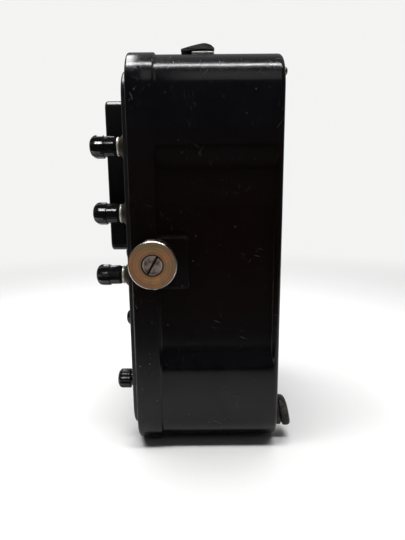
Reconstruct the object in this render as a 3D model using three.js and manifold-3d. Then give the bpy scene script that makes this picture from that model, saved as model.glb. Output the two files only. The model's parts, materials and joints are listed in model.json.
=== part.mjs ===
// Portable analog multimeter in a moulded bakelite case.
// Millimetres. The front faces -Y, +X is the right-hand side seen from the front, and +Z is up.
// The origin is the middle of the face that the meter stands on.

import * as THREE from 'three';
import { mergeVertices } from 'three/addons/utils/BufferGeometryUtils.js';
import Module from 'manifold-3d';

const wasm = await Module();
wasm.setup();

// ---- Driving dimensions ----

const GAP = 0.3; // between pieces that rest on each other
const RUNNING = 0.1; // radial play of a turning fit

const CASE_WIDTH = 116;
const CASE_HEIGHT = 206;
const CASE_DEPTH = 75.6;
const CASE_CORNER = 19;
const RIM_DEPTH = 13.5;
const BODY_INSET = 1; // the body is this much smaller than the rim, all round
const EDGE_BEVEL = 0.8;

const HALF_WIDTH = CASE_WIDTH / 2;
const RIM_FRONT = -CASE_DEPTH / 2;
const RIM_BACK = RIM_FRONT + RIM_DEPTH;
const CASE_BACK = CASE_DEPTH / 2;
const MID_HEIGHT = CASE_HEIGHT / 2;

const WAIST_DEPTH = 3;
const WAIST_LOW = 45; // where the lower corner block starts to curve into the waist
const WAIST_BLEND = 12;
const LIP_DEPTH = 2;

const CAVITY_HALF_WIDTH = 51;
const CAVITY_END = 11.5;
const CAVITY_CORNER = 12;
const BACK_WALL = 3.5;

const PANEL_SIDE_INSET = 5;
const PANEL_END_INSET = 8.5;
const PANEL_CORNER = 14;
const PANEL_PROUD = 2.7;
const PANEL_FACE = RIM_FRONT - PANEL_PROUD;
const PANEL_BACK = RIM_FRONT - GAP;

const BEZEL = { halfWidth: 36.5, low: 107, high: 185.2, corner: 4, proud: 11.5, wall: 2.5, front: 2 };
const BEZEL_FRONT = PANEL_FACE - BEZEL.proud;
const BEZEL_BACK = PANEL_FACE - GAP;
const WINDOW = { halfWidth: 31, low: 128, high: 179, corner: 3 };
const MOVEMENT_OPENING = { halfWidth: 32, low: 109.2, high: 180, corner: 3 };

const PIVOT_Z = 120;
const POINTER_REST = THREE.MathUtils.degToRad(-40);
const POINTER_LENGTH = 47;

const COLUMN_X = 44; // terminals and small knob, from the middle of the panel
const COLUMN_TERMINALS = [161, 127.5, 95];
const LOW_TERMINAL = { x: -35, z: 47.5 };
const SMALL_KNOB_Z = 35.7;
const RANGE_KNOB_Z = 62;

const BUTTON_Y = RIM_FRONT + 11.3;
const PAD = { halfHeight: 13, back: RIM_FRONT + 29.3, corner: 2.5 };

const STRAP = { y: -3.6, width: 16.5, thickness: 2, rise: 6.5, halfSpan: 41.5 };
const STRAP_PLATE = { x: 37, halfLength: 4.5, thickness: 1.2, front: -6.5, back: 4.5 };

const FOOT_X = 42;
const BACK_SCREW = { x: 48, z: 195 };

// ---- Finishes: colour, roughness, metalness ----

const BAKELITE = [0x14120f, 0.3, 0];
const PANEL_BLACK = [0x17171a, 0.4, 0];
const KNOB_BLACK = [0x0e0e10, 0.22, 0];
const NICKEL = [0xc9c4b8, 0.35, 1];
const BRASS = [0xb08d4a, 0.4, 1];
const WORN_BRASS = [0x8a6448, 0.45, 1];
const STEEL = [0x9b9c9e, 0.4, 1];
const MAGNET_GREY = [0x5a5c60, 0.5, 0.8];
const COPPER = [0xb4683c, 0.4, 1];
const GLASS = [0xe8eeee, 0.05, 0];
const DIAL_WHITE = [0xe9e5d6, 0.6, 0];
const POINTER_BLACK = [0x101010, 0.5, 0];
const PHENOLIC = [0x6b4423, 0.55, 0];
const LEATHER = [0x1a1817, 0.6, 0];
const RUBBER = [0x1c1c1c, 0.8, 0];
const CELL_BLUE = [0x32506e, 0.5, 0];

// ---- Geometry helpers ----

const meter = new THREE.Group();

/** Turns a closed geometry into a solid, with its faces pointing out. */
function solid(geometry) {
  const bare = geometry.clone();
  bare.deleteAttribute('normal');
  bare.deleteAttribute('uv');
  const merged = mergeVertices(bare, 1e-4);
  const vertProperties = new Float32Array(merged.getAttribute('position').array);
  const corners = merged.index.array;
  const kept = [];
  for (let i = 0; i < corners.length; i += 3) {
    const [a, b, c] = [corners[i], corners[i + 1], corners[i + 2]];
    if (a !== b && b !== c && c !== a) {
      kept.push(a, b, c);
    }
  }
  if (signedVolume(vertProperties, kept) < 0) {
    kept.reverse();
  }
  const triVerts = new Uint32Array(kept);
  return new wasm.Manifold(new wasm.Mesh({ numProp: 3, vertProperties, triVerts }));
}

function signedVolume(positions, corners) {
  const a = new THREE.Vector3();
  const b = new THREE.Vector3();
  const c = new THREE.Vector3();
  let volume = 0;
  for (let i = 0; i < corners.length; i += 3) {
    a.fromArray(positions, 3 * corners[i]);
    b.fromArray(positions, 3 * corners[i + 1]);
    c.fromArray(positions, 3 * corners[i + 2]);
    volume += a.dot(b.cross(c)) / 6;
  }
  return volume;
}

function join(...solids) {
  return solids.reduce((whole, piece) => whole.add(piece));
}

function cut(whole, ...tools) {
  return tools.reduce((rest, tool) => rest.subtract(tool), whole);
}

/** Adds a named piece with its own material to a group. */
function addPiece(name, shape, finish, parent = meter) {
  const { vertProperties, triVerts } = shape.getMesh();
  const geometry = new THREE.BufferGeometry();
  geometry.setAttribute('position', new THREE.BufferAttribute(new Float32Array(vertProperties), 3));
  geometry.setIndex(new THREE.BufferAttribute(new Uint32Array(triVerts), 1));
  geometry.computeVertexNormals();
  const [color, roughness, metalness] = finish;
  const mesh = new THREE.Mesh(geometry, new THREE.MeshStandardMaterial({ color, roughness, metalness }));
  mesh.name = name;
  parent.add(mesh);
  return mesh;
}

/** Extrudes an outline drawn in (X, Z) from yFront to yBack. */
function alongY(outline, yFront, yBack, bevel = 0, curveSegments = 4) {
  const geometry = new THREE.ExtrudeGeometry(outline, {
    depth: yBack - yFront - 2 * bevel,
    curveSegments,
    bevelEnabled: bevel > 0,
    bevelThickness: bevel,
    bevelSize: bevel,
    bevelOffset: -bevel,
    bevelSegments: 1,
  });
  geometry.rotateX(Math.PI / 2).translate(0, yBack - bevel, 0);
  return solid(geometry);
}

/** Extrudes an outline drawn in (Y, Z) from xLow to xHigh. */
function alongX(outline, xLow, xHigh) {
  const geometry = new THREE.ExtrudeGeometry(outline, { depth: xHigh - xLow, bevelEnabled: false });
  geometry.applyMatrix4(new THREE.Matrix4().set(0, 0, 1, xLow, 1, 0, 0, 0, 0, 1, 0, 0, 0, 0, 0, 1));
  return solid(geometry);
}

function box(xRange, yRange, zRange) {
  const size = [xRange, yRange, zRange].map(([low, high]) => high - low);
  const middle = [xRange, yRange, zRange].map(([low, high]) => (low + high) / 2);
  return solid(new THREE.BoxGeometry(...size).translate(...middle));
}

/** A cylinder along Y, centred on (x, z). */
function rod(x, z, radius, yFront, yBack, segments = 16) {
  const geometry = new THREE.CylinderGeometry(radius, radius, yBack - yFront, segments);
  return solid(geometry.translate(x, (yFront + yBack) / 2, z));
}

/** A turned piece along Y. The profile lists [radius, distance in front of the origin]. */
function turned(profile, segments) {
  const points = profile.map(([radius, forward]) => new THREE.Vector2(radius, -forward));
  return new THREE.LatheGeometry(points, segments);
}

/** Presses flutes into the rows of a turned piece that lie in front of `from`. */
function flute(geometry, flutes, depth, from, minRadius) {
  const position = geometry.getAttribute('position');
  for (let i = 0; i < position.count; i += 1) {
    const x = position.getX(i);
    const z = position.getZ(i);
    const radius = Math.hypot(x, z);
    if (radius > minRadius && -position.getY(i) > from) {
      const angle = Math.atan2(x, z);
      const scale = 1 - (depth / radius) * (0.5 - 0.5 * Math.cos(flutes * angle));
      position.setXYZ(i, x * scale, position.getY(i), z * scale);
    }
  }
  return geometry;
}

/** A rectangle with round corners, in (X, Z). */
function roundedRectangle(halfWidth, low, high, corner, centre = 0) {
  const outline = new THREE.Shape();
  const left = centre - halfWidth + corner;
  const right = centre + halfWidth - corner;
  const bottom = low + corner;
  const top = high - corner;
  outline.absarc(right, bottom, corner, -Math.PI / 2, 0);
  outline.absarc(right, top, corner, 0, Math.PI / 2);
  outline.absarc(left, top, corner, Math.PI / 2, Math.PI);
  outline.absarc(left, bottom, corner, Math.PI, 1.5 * Math.PI);
  outline.closePath();
  return outline;
}

// ---- Case tub ----

/** The body's outline seen from the front: corner blocks above and below a waist. */
function waistedOutline() {
  const wide = HALF_WIDTH - BODY_INSET;
  const narrow = wide - WAIST_DEPTH;
  const corner = CASE_CORNER - BODY_INSET;
  const low = BODY_INSET;
  const high = CASE_HEIGHT - BODY_INSET;
  const start = WAIST_LOW;
  const middle = start + WAIST_BLEND / 2;
  const end = start + WAIST_BLEND;
  const highMiddle = CASE_HEIGHT - middle;
  const outline = new THREE.Shape();
  outline.absarc(wide - corner, low + corner, corner, -Math.PI / 2, 0);
  outline.lineTo(wide, start);
  outline.bezierCurveTo(wide, middle, narrow, middle, narrow, end);
  outline.lineTo(narrow, CASE_HEIGHT - end);
  outline.bezierCurveTo(narrow, highMiddle, wide, highMiddle, wide, CASE_HEIGHT - start);
  outline.absarc(wide - corner, high - corner, corner, 0, Math.PI / 2);
  outline.absarc(corner - wide, high - corner, corner, Math.PI / 2, Math.PI);
  outline.lineTo(-wide, CASE_HEIGHT - start);
  outline.bezierCurveTo(-wide, highMiddle, -narrow, highMiddle, -narrow, CASE_HEIGHT - end);
  outline.lineTo(-narrow, end);
  outline.bezierCurveTo(-narrow, middle, -wide, middle, -wide, start);
  outline.absarc(corner - wide, low + corner, corner, Math.PI, 1.5 * Math.PI);
  outline.closePath();
  return outline;
}

const BATTERY = { halfWidth: 30, low: 13, high: 43, front: 2, wall: 1.5 };
const COVER = { halfWidth: 31, low: 10.5, high: 43.5, depth: 2 };
const BUTTON_SCREW_TIP = HALF_WIDTH - 6;
const SCREW_HOLE = 3.3; // for the strap buttons' screws
const STANDING_PAD = { halfWidth: 34, backMargin: 6 };
const FOOT_STEM = { z: 15, radius: 2.5 };

function sidePad(side) {
  const outline = new THREE.Shape();
  const { halfHeight, back, corner } = PAD;
  const front = RIM_BACK - 1;
  outline.moveTo(front, MID_HEIGHT - halfHeight);
  outline.lineTo(back - corner, MID_HEIGHT - halfHeight);
  outline.absarc(back - corner, MID_HEIGHT - halfHeight + corner, corner, -Math.PI / 2, 0);
  outline.absarc(back - corner, MID_HEIGHT + halfHeight - corner, corner, 0, Math.PI / 2);
  outline.lineTo(front, MID_HEIGHT + halfHeight);
  outline.closePath();
  const inner = CAVITY_HALF_WIDTH + 0.5;
  const outer = HALF_WIDTH;
  return side > 0 ? alongX(outline, inner, outer) : alongX(outline, -outer, -inner);
}

function makeCase() {
  const rimOutline = roundedRectangle(HALF_WIDTH, 0, CASE_HEIGHT, CASE_CORNER);
  const lipOutline = roundedRectangle(
    HALF_WIDTH - BODY_INSET, BODY_INSET, CASE_HEIGHT - BODY_INSET, CASE_CORNER - BODY_INSET);
  const cavityOutline = roundedRectangle(
    CAVITY_HALF_WIDTH, CAVITY_END, CASE_HEIGHT - CAVITY_END, CAVITY_CORNER);
  const rim = alongY(rimOutline, RIM_FRONT, RIM_BACK, EDGE_BEVEL);
  const body = alongY(waistedOutline(), RIM_BACK - 1.5, CASE_BACK - LIP_DEPTH + EDGE_BEVEL);
  const lip = alongY(lipOutline, CASE_BACK - LIP_DEPTH, CASE_BACK, EDGE_BEVEL);
  const standingPad = box(
    [-STANDING_PAD.halfWidth, STANDING_PAD.halfWidth],
    [RIM_BACK - 2, CASE_BACK - STANDING_PAD.backMargin],
    [0, BODY_INSET + 1]);
  const cavity = alongY(cavityOutline, RIM_FRONT - 5, CASE_BACK - BACK_WALL);
  const outside = join(rim, body, lip, standingPad, sidePad(1), sidePad(-1));
  const shell = cut(outside, cavity);

  const { halfWidth, low, high, front, wall } = BATTERY;
  const compartment = cut(
    box(
      [-halfWidth - wall, halfWidth + wall],
      [front - wall, CASE_BACK - 1],
      [CAVITY_END - 1, high + wall]),
    box([-halfWidth, halfWidth], [front, CASE_BACK], [low, high]));
  const hatch = box([-halfWidth + 2, halfWidth - 2], [front, CASE_BACK + 1], [low + 1, high - 2]);
  const recess = box(
    [-COVER.halfWidth - GAP, COVER.halfWidth + GAP],
    [CASE_BACK - COVER.depth - GAP, CASE_BACK + 1],
    [COVER.low - GAP, COVER.high + GAP]);

  const tools = [hatch, recess];
  for (const side of [-1, 1]) {
    const hole = new THREE.CylinderGeometry(SCREW_HOLE, SCREW_HOLE, 8, 16).rotateZ(Math.PI / 2);
    tools.push(solid(hole.translate(side * (BUTTON_SCREW_TIP + 4), BUTTON_Y, MID_HEIGHT)));
    tools.push(rod(side * BACK_SCREW.x, BACK_SCREW.z, 1.5, CASE_BACK - 12, CASE_BACK + 1, 12));
    const stemFront = CASE_BACK - BACK_WALL - 1;
    tools.push(rod(side * FOOT_X, FOOT_STEM.z, FOOT_STEM.radius + GAP, stemFront, CASE_BACK + 1, 12));
    const plateHole = new THREE.CylinderGeometry(1.7, 1.7, 10, 12).rotateX(Math.PI / 2);
    tools.push(solid(plateHole.translate(side * STRAP_PLATE.x, STRAP.y, CASE_HEIGHT - BODY_INSET - 4)));
  }
  addPiece('case_tub', cut(join(shell, compartment), ...tools), BAKELITE);
}

// ---- Front panel ----

const TERMINALS = [
  ...COLUMN_TERMINALS.map((z, i) => ({ name: `terminal_right_${i + 1}`, x: COLUMN_X, z })),
  ...COLUMN_TERMINALS.map((z, i) => ({ name: `terminal_left_${i + 1}`, x: -COLUMN_X, z })),
  { name: 'terminal_left_4', ...LOW_TERMINAL },
];
const STUD_RADIUS = 2;
const SHAFT_RADIUS = 3;
const BUSHING_RADIUS = 4.5;

function makePanel() {
  const outline = roundedRectangle(
    HALF_WIDTH - PANEL_SIDE_INSET, PANEL_END_INSET, CASE_HEIGHT - PANEL_END_INSET, PANEL_CORNER);
  const { halfWidth, low, high, corner } = MOVEMENT_OPENING;
  const opening = roundedRectangle(halfWidth, low, high, corner);
  const holes = [alongY(opening, PANEL_FACE - 1, PANEL_BACK + 1, 0, 3)];
  for (const { x, z } of TERMINALS) {
    holes.push(rod(x, z, STUD_RADIUS + GAP, PANEL_FACE - 1, PANEL_BACK + 1, 12));
  }
  holes.push(rod(COLUMN_X, SMALL_KNOB_Z, SHAFT_RADIUS + GAP, PANEL_FACE - 1, PANEL_BACK + 1));
  holes.push(rod(0, RANGE_KNOB_Z, BUSHING_RADIUS + GAP, PANEL_FACE - 1, PANEL_BACK + 1));
  addPiece('front_panel', cut(alongY(outline, PANEL_FACE, PANEL_BACK, 0.6), ...holes), PANEL_BLACK);
}

// ---- Meter housing ----

const ADJUSTER = { z: 114.3, radius: 3.5, collar: 4.3, segments: 24 };
const DIAL = {
  halfWidth: 33.4, low: 110.2, high: 180.8, front: BEZEL_FRONT + 7.9, thickness: 0.8, notchHalfWidth: 19,
};

function makeMeterHousing() {
  const { halfWidth, low, high, corner, wall, front } = BEZEL;
  const outer = alongY(roundedRectangle(halfWidth, low, high, corner), BEZEL_FRONT, BEZEL_BACK, EDGE_BEVEL);
  const inside = roundedRectangle(halfWidth - wall, low + wall, high - wall, corner - wall);
  const hollow = alongY(inside, BEZEL_FRONT + front, BEZEL_BACK + 1, 0, 3);
  const windowOutline = roundedRectangle(WINDOW.halfWidth, WINDOW.low, WINDOW.high, WINDOW.corner);
  const opening = alongY(windowOutline, BEZEL_FRONT - 1, BEZEL_FRONT + front + 1, 0, 3);
  const adjusterHole = rod(
    0, ADJUSTER.z, ADJUSTER.radius + RUNNING, BEZEL_FRONT - 1, BEZEL_FRONT + front + 1, ADJUSTER.segments);
  addPiece('meter_bezel', cut(outer, hollow, opening, adjusterHole), KNOB_BLACK);

  const paneFront = BEZEL_FRONT + front + GAP;
  const pane = roundedRectangle(halfWidth - wall - GAP, WINDOW.low - 2, high - wall - GAP, 1);
  addPiece('meter_window', alongY(pane, paneFront, paneFront + 1.5, 0, 2), GLASS);

  const plate = roundedRectangle(DIAL.halfWidth, DIAL.low, DIAL.high, 1);
  const notch = box(
    [-DIAL.notchHalfWidth, DIAL.notchHalfWidth],
    [DIAL.front - 1, DIAL.front + 2],
    [DIAL.low - 1, PIVOT_Z + 7]);
  const dial = cut(alongY(plate, DIAL.front, DIAL.front + DIAL.thickness, 0, 2), notch);
  addPiece('dial_plate', dial, DIAL_WHITE);
}

/** Slotted screw in the bezel, with an eccentric pin that shifts the pointer's rest place. */
function makeZeroAdjuster() {
  const back = BEZEL.front + 0.9;
  const head = solid(turned([
    [0, -0.1], [ADJUSTER.radius, -0.1], [ADJUSTER.radius, -BEZEL.front - GAP],
    [ADJUSTER.collar, -BEZEL.front - GAP], [ADJUSTER.collar, -back], [0, -back],
  ], ADJUSTER.segments));
  const pin = rod(0, 1.6, 0.6, back - 0.3, back + 1.6, 8);
  const slot = box([-ADJUSTER.radius - 1, ADJUSTER.radius + 1], [-1, 1], [-0.5, 0.5]);
  const screw = addPiece('zero_adjust_screw', cut(join(head, pin), slot), KNOB_BLACK);
  screw.position.set(0, BEZEL_FRONT, ADJUSTER.z);
}

// ---- Moving-coil movement ----

const MAGNET = { front: -41, back: -27, outer: 30, inner: 19, legLow: 110.5, arcZ: 146 };
const CORE_RADIUS = 8;
const POLE_BORE = 10.5;
const POLE_TIP = 6; // half of the gap between the pole pieces
const COIL = { inner: 8.6, outer: 10, halfThickness: 1.5, front: -43.2, back: -24.8, end: 1.2 };
const STAFF_RADIUS = 1;
const BRACKET = {
  front: PANEL_BACK + GAP, plateFront: -23.8, plateBack: -21.8, halfWidth: 36, wall: 1.5,
  low: 112, high: 178,
};
const BRIDGE = { front: -48.7, back: -47.2, halfWidth: 17, halfHeight: 2.5, postX: 15 };

function makeMagnetCircuit() {
  const { outer, inner, legLow, arcZ, front, back } = MAGNET;
  const outline = new THREE.Shape();
  outline.moveTo(outer, legLow);
  outline.absarc(0, arcZ, outer, 0, Math.PI);
  outline.lineTo(-outer, legLow);
  outline.lineTo(-inner, legLow);
  outline.absarc(0, arcZ, inner, Math.PI, 0, true);
  outline.lineTo(inner, legLow);
  outline.closePath();
  addPiece('magnet', alongY(outline, front, back, 0, 16), MAGNET_GREY);

  const bore = rod(0, PIVOT_Z, POLE_BORE, front - 1, back + 1, 32);
  const poleHeights = [legLow, 2 * PIVOT_Z - legLow];
  const right = box([POLE_TIP, inner - GAP], [front, back], poleHeights);
  const left = box([GAP - inner, -POLE_TIP], [front, back], poleHeights);
  addPiece('pole_piece_right', cut(right, bore), STEEL);
  addPiece('pole_piece_left', cut(left, bore), STEEL);

  const arm = box([-2.5, 2.5], [front + 2, BRACKET.plateFront - GAP], [PIVOT_Z + 7.5, PIVOT_Z + 11]);
  addPiece('core', join(rod(0, PIVOT_Z, CORE_RADIUS, front, back, 24), arm), STEEL);
}

function makeMovementBracket() {
  const { front, plateFront, plateBack, halfWidth, wall, low, high } = BRACKET;
  const outline = new THREE.Shape([
    [-halfWidth, front], [-halfWidth, plateBack], [halfWidth, plateBack], [halfWidth, front],
    [halfWidth - wall, front], [halfWidth - wall, plateFront], [wall - halfWidth, plateFront],
    [wall - halfWidth, front],
  ].map(([x, y]) => new THREE.Vector2(x, y)));
  const channel = new THREE.ExtrudeGeometry(outline, { depth: high - low, bevelEnabled: false });
  channel.translate(0, 0, low);
  const bearing = rod(0, PIVOT_Z, STAFF_RADIUS + RUNNING, plateFront - 1, plateBack + 1);
  addPiece('movement_bracket', cut(solid(channel), bearing), STEEL);
}

function makeFrontBridge() {
  const { front, back, halfWidth, halfHeight, postX } = BRIDGE;
  const bar = box([-halfWidth, halfWidth], [front, back], [PIVOT_Z - halfHeight, PIVOT_Z + halfHeight]);
  const posts = [-postX, postX].map((x) => rod(x, PIVOT_Z, 1.5, back - 1, MAGNET.front - GAP, 10));
  const bearing = rod(0, PIVOT_Z, STAFF_RADIUS + RUNNING, front - 1, back + 1);
  addPiece('front_bridge', cut(join(bar, ...posts), bearing), BRASS);
}

function makeMovingCoil() {
  const { inner, outer, halfThickness, front, back, end } = COIL;
  const winding = cut(
    box([-outer, outer], [front, back], [-halfThickness, halfThickness]),
    box([-inner, inner], [front + end, back - end], [-2 * halfThickness, 2 * halfThickness]));
  const frontStaff = rod(0, 0, STAFF_RADIUS, BRIDGE.back - 0.6, front + 0.5);
  const rearStaff = rod(0, 0, STAFF_RADIUS, back - 0.5, BRACKET.plateFront + 1);
  const coil = addPiece('moving_coil', join(winding, frontStaff, rearStaff), COPPER);
  coil.position.set(0, 0, PIVOT_Z);
  coil.rotation.y = POINTER_REST;
}

const POINTER_FRONT = -46.4;
const POINTER = { halfWidth: 0.9, tipHalfWidth: 0.3, shoulder: 4, tail: 7.2, hub: 2.6, weight: 2.2 };

function makePointer() {
  const { halfWidth, tipHalfWidth, shoulder, tail, hub, weight } = POINTER;
  const arm = new THREE.Shape([
    [-halfWidth, -tail], [halfWidth, -tail], [halfWidth, shoulder], [tipHalfWidth, POINTER_LENGTH],
    [-tipHalfWidth, POINTER_LENGTH], [-halfWidth, shoulder],
  ].map(([x, z]) => new THREE.Vector2(x, z)));
  const hubBack = POINTER_FRONT + 1.4;
  const solids = [
    alongY(arm, POINTER_FRONT, POINTER_FRONT + 0.6),
    rod(0, 0, hub, POINTER_FRONT, hubBack),
    rod(0, -tail, weight, POINTER_FRONT, hubBack, 12),
  ];
  const bore = rod(0, 0, STAFF_RADIUS + 0.2, POINTER_FRONT - 1, hubBack + 1, 12);
  const pointer = addPiece('pointer', cut(join(...solids), bore), POINTER_BLACK);
  pointer.position.set(0, 0, PIVOT_Z);
  pointer.rotation.y = POINTER_REST;
}

/** Flat spiral of bronze ribbon round the staff. */
function makeHairspring() {
  const turns = 2.5;
  const steps = 40;
  const ribbon = 0.25;
  const edge = (offset) => Array.from({ length: steps + 1 }, (_, i) => {
    const angle = (2 * Math.PI * turns * i) / steps;
    const radius = 1.6 + (4 * i) / steps + offset;
    return new THREE.Vector2(radius * Math.cos(angle), PIVOT_Z + radius * Math.sin(angle));
  });
  const outline = new THREE.Shape([...edge(ribbon), ...edge(0).reverse()]);
  addPiece('hairspring', alongY(outline, -44.7, -44), BRASS);
}

// ---- Range switch and ohms-zero control ----

const RANGE = { discRadius: 18, discHeight: 3, height: 8.5, barLength: 17.2, barHalfWidth: 4 };
const WAFER = { front: PANEL_FACE + 18.4, thickness: 1.6, radius: 22, rotorRadius: 8 };

function makeRangeSwitch() {
  const { discRadius, discHeight, height, barLength, barHalfWidth } = RANGE;
  const skirt = rod(0, RANGE_KNOB_Z, discRadius, PANEL_FACE - discHeight, PANEL_FACE - 0.5, 32);
  const barOutline = new THREE.Shape([
    [-barHalfWidth, -barLength], [barHalfWidth, -barLength], [barHalfWidth, barLength - 5],
    [0, barLength], [-barHalfWidth, barLength - 5],
  ].map(([x, z]) => new THREE.Vector2(x, RANGE_KNOB_Z + z)));
  const bar = alongY(barOutline, PANEL_FACE - height, PANEL_FACE - discHeight + 0.5, 0.8);
  const bore = rod(0, RANGE_KNOB_Z, SHAFT_RADIUS + GAP, PANEL_FACE - 7, PANEL_FACE + 1);
  addPiece('range_knob', cut(join(skirt, bar), bore), KNOB_BLACK);

  const shaftBack = WAFER.front + WAFER.thickness + 3;
  addPiece('range_shaft', rod(0, RANGE_KNOB_Z, SHAFT_RADIUS, PANEL_FACE - 6.5, shaftBack), STEEL);

  const flangeFront = PANEL_BACK + GAP;
  const bushing = join(
    rod(0, RANGE_KNOB_Z, BUSHING_RADIUS, PANEL_FACE + 0.3, flangeFront + 1),
    rod(0, RANGE_KNOB_Z, 18, flangeFront, flangeFront + 4, 24));
  const bearing = rod(0, RANGE_KNOB_Z, SHAFT_RADIUS + RUNNING, PANEL_FACE - 1, flangeFront + 5, 24);
  addPiece('range_bushing', cut(bushing, bearing), BRASS);

  const disc = rod(0, RANGE_KNOB_Z, WAFER.radius, WAFER.front, WAFER.front + WAFER.thickness, 32);
  const posts = [-14, 14].map((x) => rod(x, RANGE_KNOB_Z, 1.8, flangeFront + 4 + GAP, WAFER.front + 1, 10));
  const seat = rod(0, RANGE_KNOB_Z, WAFER.rotorRadius + RUNNING, WAFER.front - 1, WAFER.front + 3, 32);
  addPiece('range_wafer', cut(join(disc, ...posts), seat), PHENOLIC);

  const rotor = cut(
    rod(0, RANGE_KNOB_Z, WAFER.rotorRadius, WAFER.front, WAFER.front + WAFER.thickness, 32),
    rod(0, RANGE_KNOB_Z, SHAFT_RADIUS + GAP, WAFER.front - 1, WAFER.front + 3));
  addPiece('range_rotor', rotor, PHENOLIC);
}

const SMALL_KNOB = { radius: 5.3, back: 2, front: 9.2, neck: 4 };
const POT = { radius: 6.5, depth: 9 };

function makeOhmsZero() {
  const group = new THREE.Group();
  group.position.set(COLUMN_X, PANEL_FACE, SMALL_KNOB_Z);
  meter.add(group);
  const { radius, back, front, neck } = SMALL_KNOB;
  const bore = SHAFT_RADIUS + GAP;
  const profile = [
    [0, front], [radius - 2.4, front - 0.5], [radius - 0.9, front - 1.4], [radius, front - 3],
    [radius, back], [neck, back], [neck, 0.5], [bore, 0.5], [bore, front - 1.5], [0, front - 1.5],
  ];
  const knob = flute(turned(profile, 24), 12, 0.6, back - 0.1, neck + 0.1);
  addPiece('ohms_zero_knob', solid(knob), KNOB_BLACK, group);
  const potFront = PANEL_FACE - PANEL_BACK - GAP;
  const shaftBack = potFront - POT.depth + 2;
  addPiece('ohms_zero_shaft', rod(0, 0, SHAFT_RADIUS, 1.8 - front, -shaftBack), BRASS, group);
  const pot = cut(
    rod(0, 0, POT.radius, -potFront, POT.depth - potFront, 20),
    rod(0, 0, SHAFT_RADIUS + RUNNING, -potFront - 1, GAP - shaftBack, 24));
  addPiece('potentiometer', pot, STEEL, group);
}

// ---- Terminals ----

const CAP = { front: 18, shoulder: 10.8, back: 4.2, head: 5.8, barrel: 5.2, blind: 13.6 };
const INSERT = { outer: 3.45, inner: STUD_RADIUS + RUNNING, front: 12, segments: 12 };
const COLLAR = { top: 3.9, topRadius: 4.5, footRadius: 6.3 };

function terminalCap() {
  const { front, shoulder, back, head, barrel, blind } = CAP;
  const bore = INSERT.outer + RUNNING;
  const profile = [
    [0, front], [head - 2.6, front - 0.6], [head - 0.8, front - 1.9], [head, front - 3.6],
    [head, shoulder], [barrel, shoulder], [barrel, back + 1], [barrel - 0.7, back],
    [bore, back], [bore, blind], [0, blind],
  ];
  return solid(flute(turned(profile, 16), 8, 0.6, shoulder - 0.1, barrel - 0.2));
}

function terminalInsert() {
  const { outer, inner, front, segments } = INSERT;
  const back = CAP.back + 0.2;
  return solid(turned([
    [inner, back], [outer, back], [outer, front], [inner, front], [inner, back],
  ], segments));
}

/** Threaded stud with its flared collar in front of the panel and its nut behind. */
function terminalPost() {
  const nutFront = PANEL_FACE - PANEL_BACK - GAP;
  return solid(turned([
    [0, CAP.blind - 0.8], [STUD_RADIUS, CAP.blind - 0.8], [STUD_RADIUS, COLLAR.top],
    [COLLAR.topRadius, COLLAR.top], [COLLAR.topRadius, 2.6], [COLLAR.footRadius, 1.2],
    [COLLAR.footRadius, GAP], [STUD_RADIUS, GAP], [STUD_RADIUS, nutFront], [4.2, nutFront],
    [4.2, nutFront - 2.4], [STUD_RADIUS, nutFront - 2.4], [STUD_RADIUS, nutFront - 8], [0, nutFront - 8],
  ], 10));
}

function makeTerminals() {
  for (const { name, x, z } of TERMINALS) {
    const group = new THREE.Group();
    group.position.set(x, PANEL_FACE, z);
    meter.add(group);
    addPiece(`${name}_post`, terminalPost(), NICKEL, group);
    addPiece(`${name}_insert`, terminalInsert(), BRASS, group);
    addPiece(`${name}_cap`, terminalCap(), KNOB_BLACK, group);
  }
}

// ---- Strap buttons on the sides ----

const BUTTON = {
  radius: 12, neck: 8, neckLength: 2, thickness: 4, chamfer: 0.8, bore: SCREW_HOLE, counterbore: 5.4,
};
const BUTTON_HEAD = { radius: 5, height: 2.2, shank: 3, slotWidth: 1.4, slotDepth: 1.2 };
const SLOT_ANGLE = THREE.MathUtils.degToRad(60);

function makeStrapButtons() {
  const { radius, neck, neckLength, thickness, chamfer, bore, counterbore } = BUTTON;
  const face = neckLength + thickness;
  const floor = face - BUTTON_HEAD.height;
  const disc = turned([
    [bore, GAP], [neck, GAP], [neck, neckLength], [radius - chamfer, neckLength],
    [radius, neckLength + chamfer], [radius, face - chamfer], [radius - chamfer, face],
    [counterbore, face], [counterbore, floor], [bore, floor], [bore, GAP],
  ], 24);
  const tip = BUTTON_SCREW_TIP - HALF_WIDTH + 0.5;
  const head = solid(turned([
    [0, face], [BUTTON_HEAD.radius, face], [BUTTON_HEAD.radius, floor + GAP],
    [BUTTON_HEAD.shank, floor + GAP], [BUTTON_HEAD.shank, tip], [0, tip],
  ], 20));
  const slot = new THREE.BoxGeometry(BUTTON_HEAD.slotWidth, 2 * BUTTON_HEAD.slotDepth, 12);
  slot.rotateY(Math.PI / 2 - SLOT_ANGLE).translate(0, -face, 0);
  const screw = cut(head, solid(slot));
  for (const [name, side] of [['right', 1], ['left', -1]]) {
    const group = new THREE.Group();
    group.position.set(side * HALF_WIDTH, BUTTON_Y, MID_HEIGHT);
    group.rotation.z = side * (Math.PI / 2);
    meter.add(group);
    addPiece(`strap_button_${name}`, solid(disc), WORN_BRASS, group);
    addPiece(`strap_button_screw_${name}`, screw, NICKEL, group);
  }
}

// ---- Hand strap on the top ----

const BODY_TOP = CASE_HEIGHT - BODY_INSET;
const PLATE_LOW = BODY_TOP + GAP;
const STRAP_BOTTOM = PLATE_LOW + STRAP_PLATE.thickness + GAP;
const STRAP_STEPS = 22;
const STRAP_HOLE = 1.9;

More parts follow.
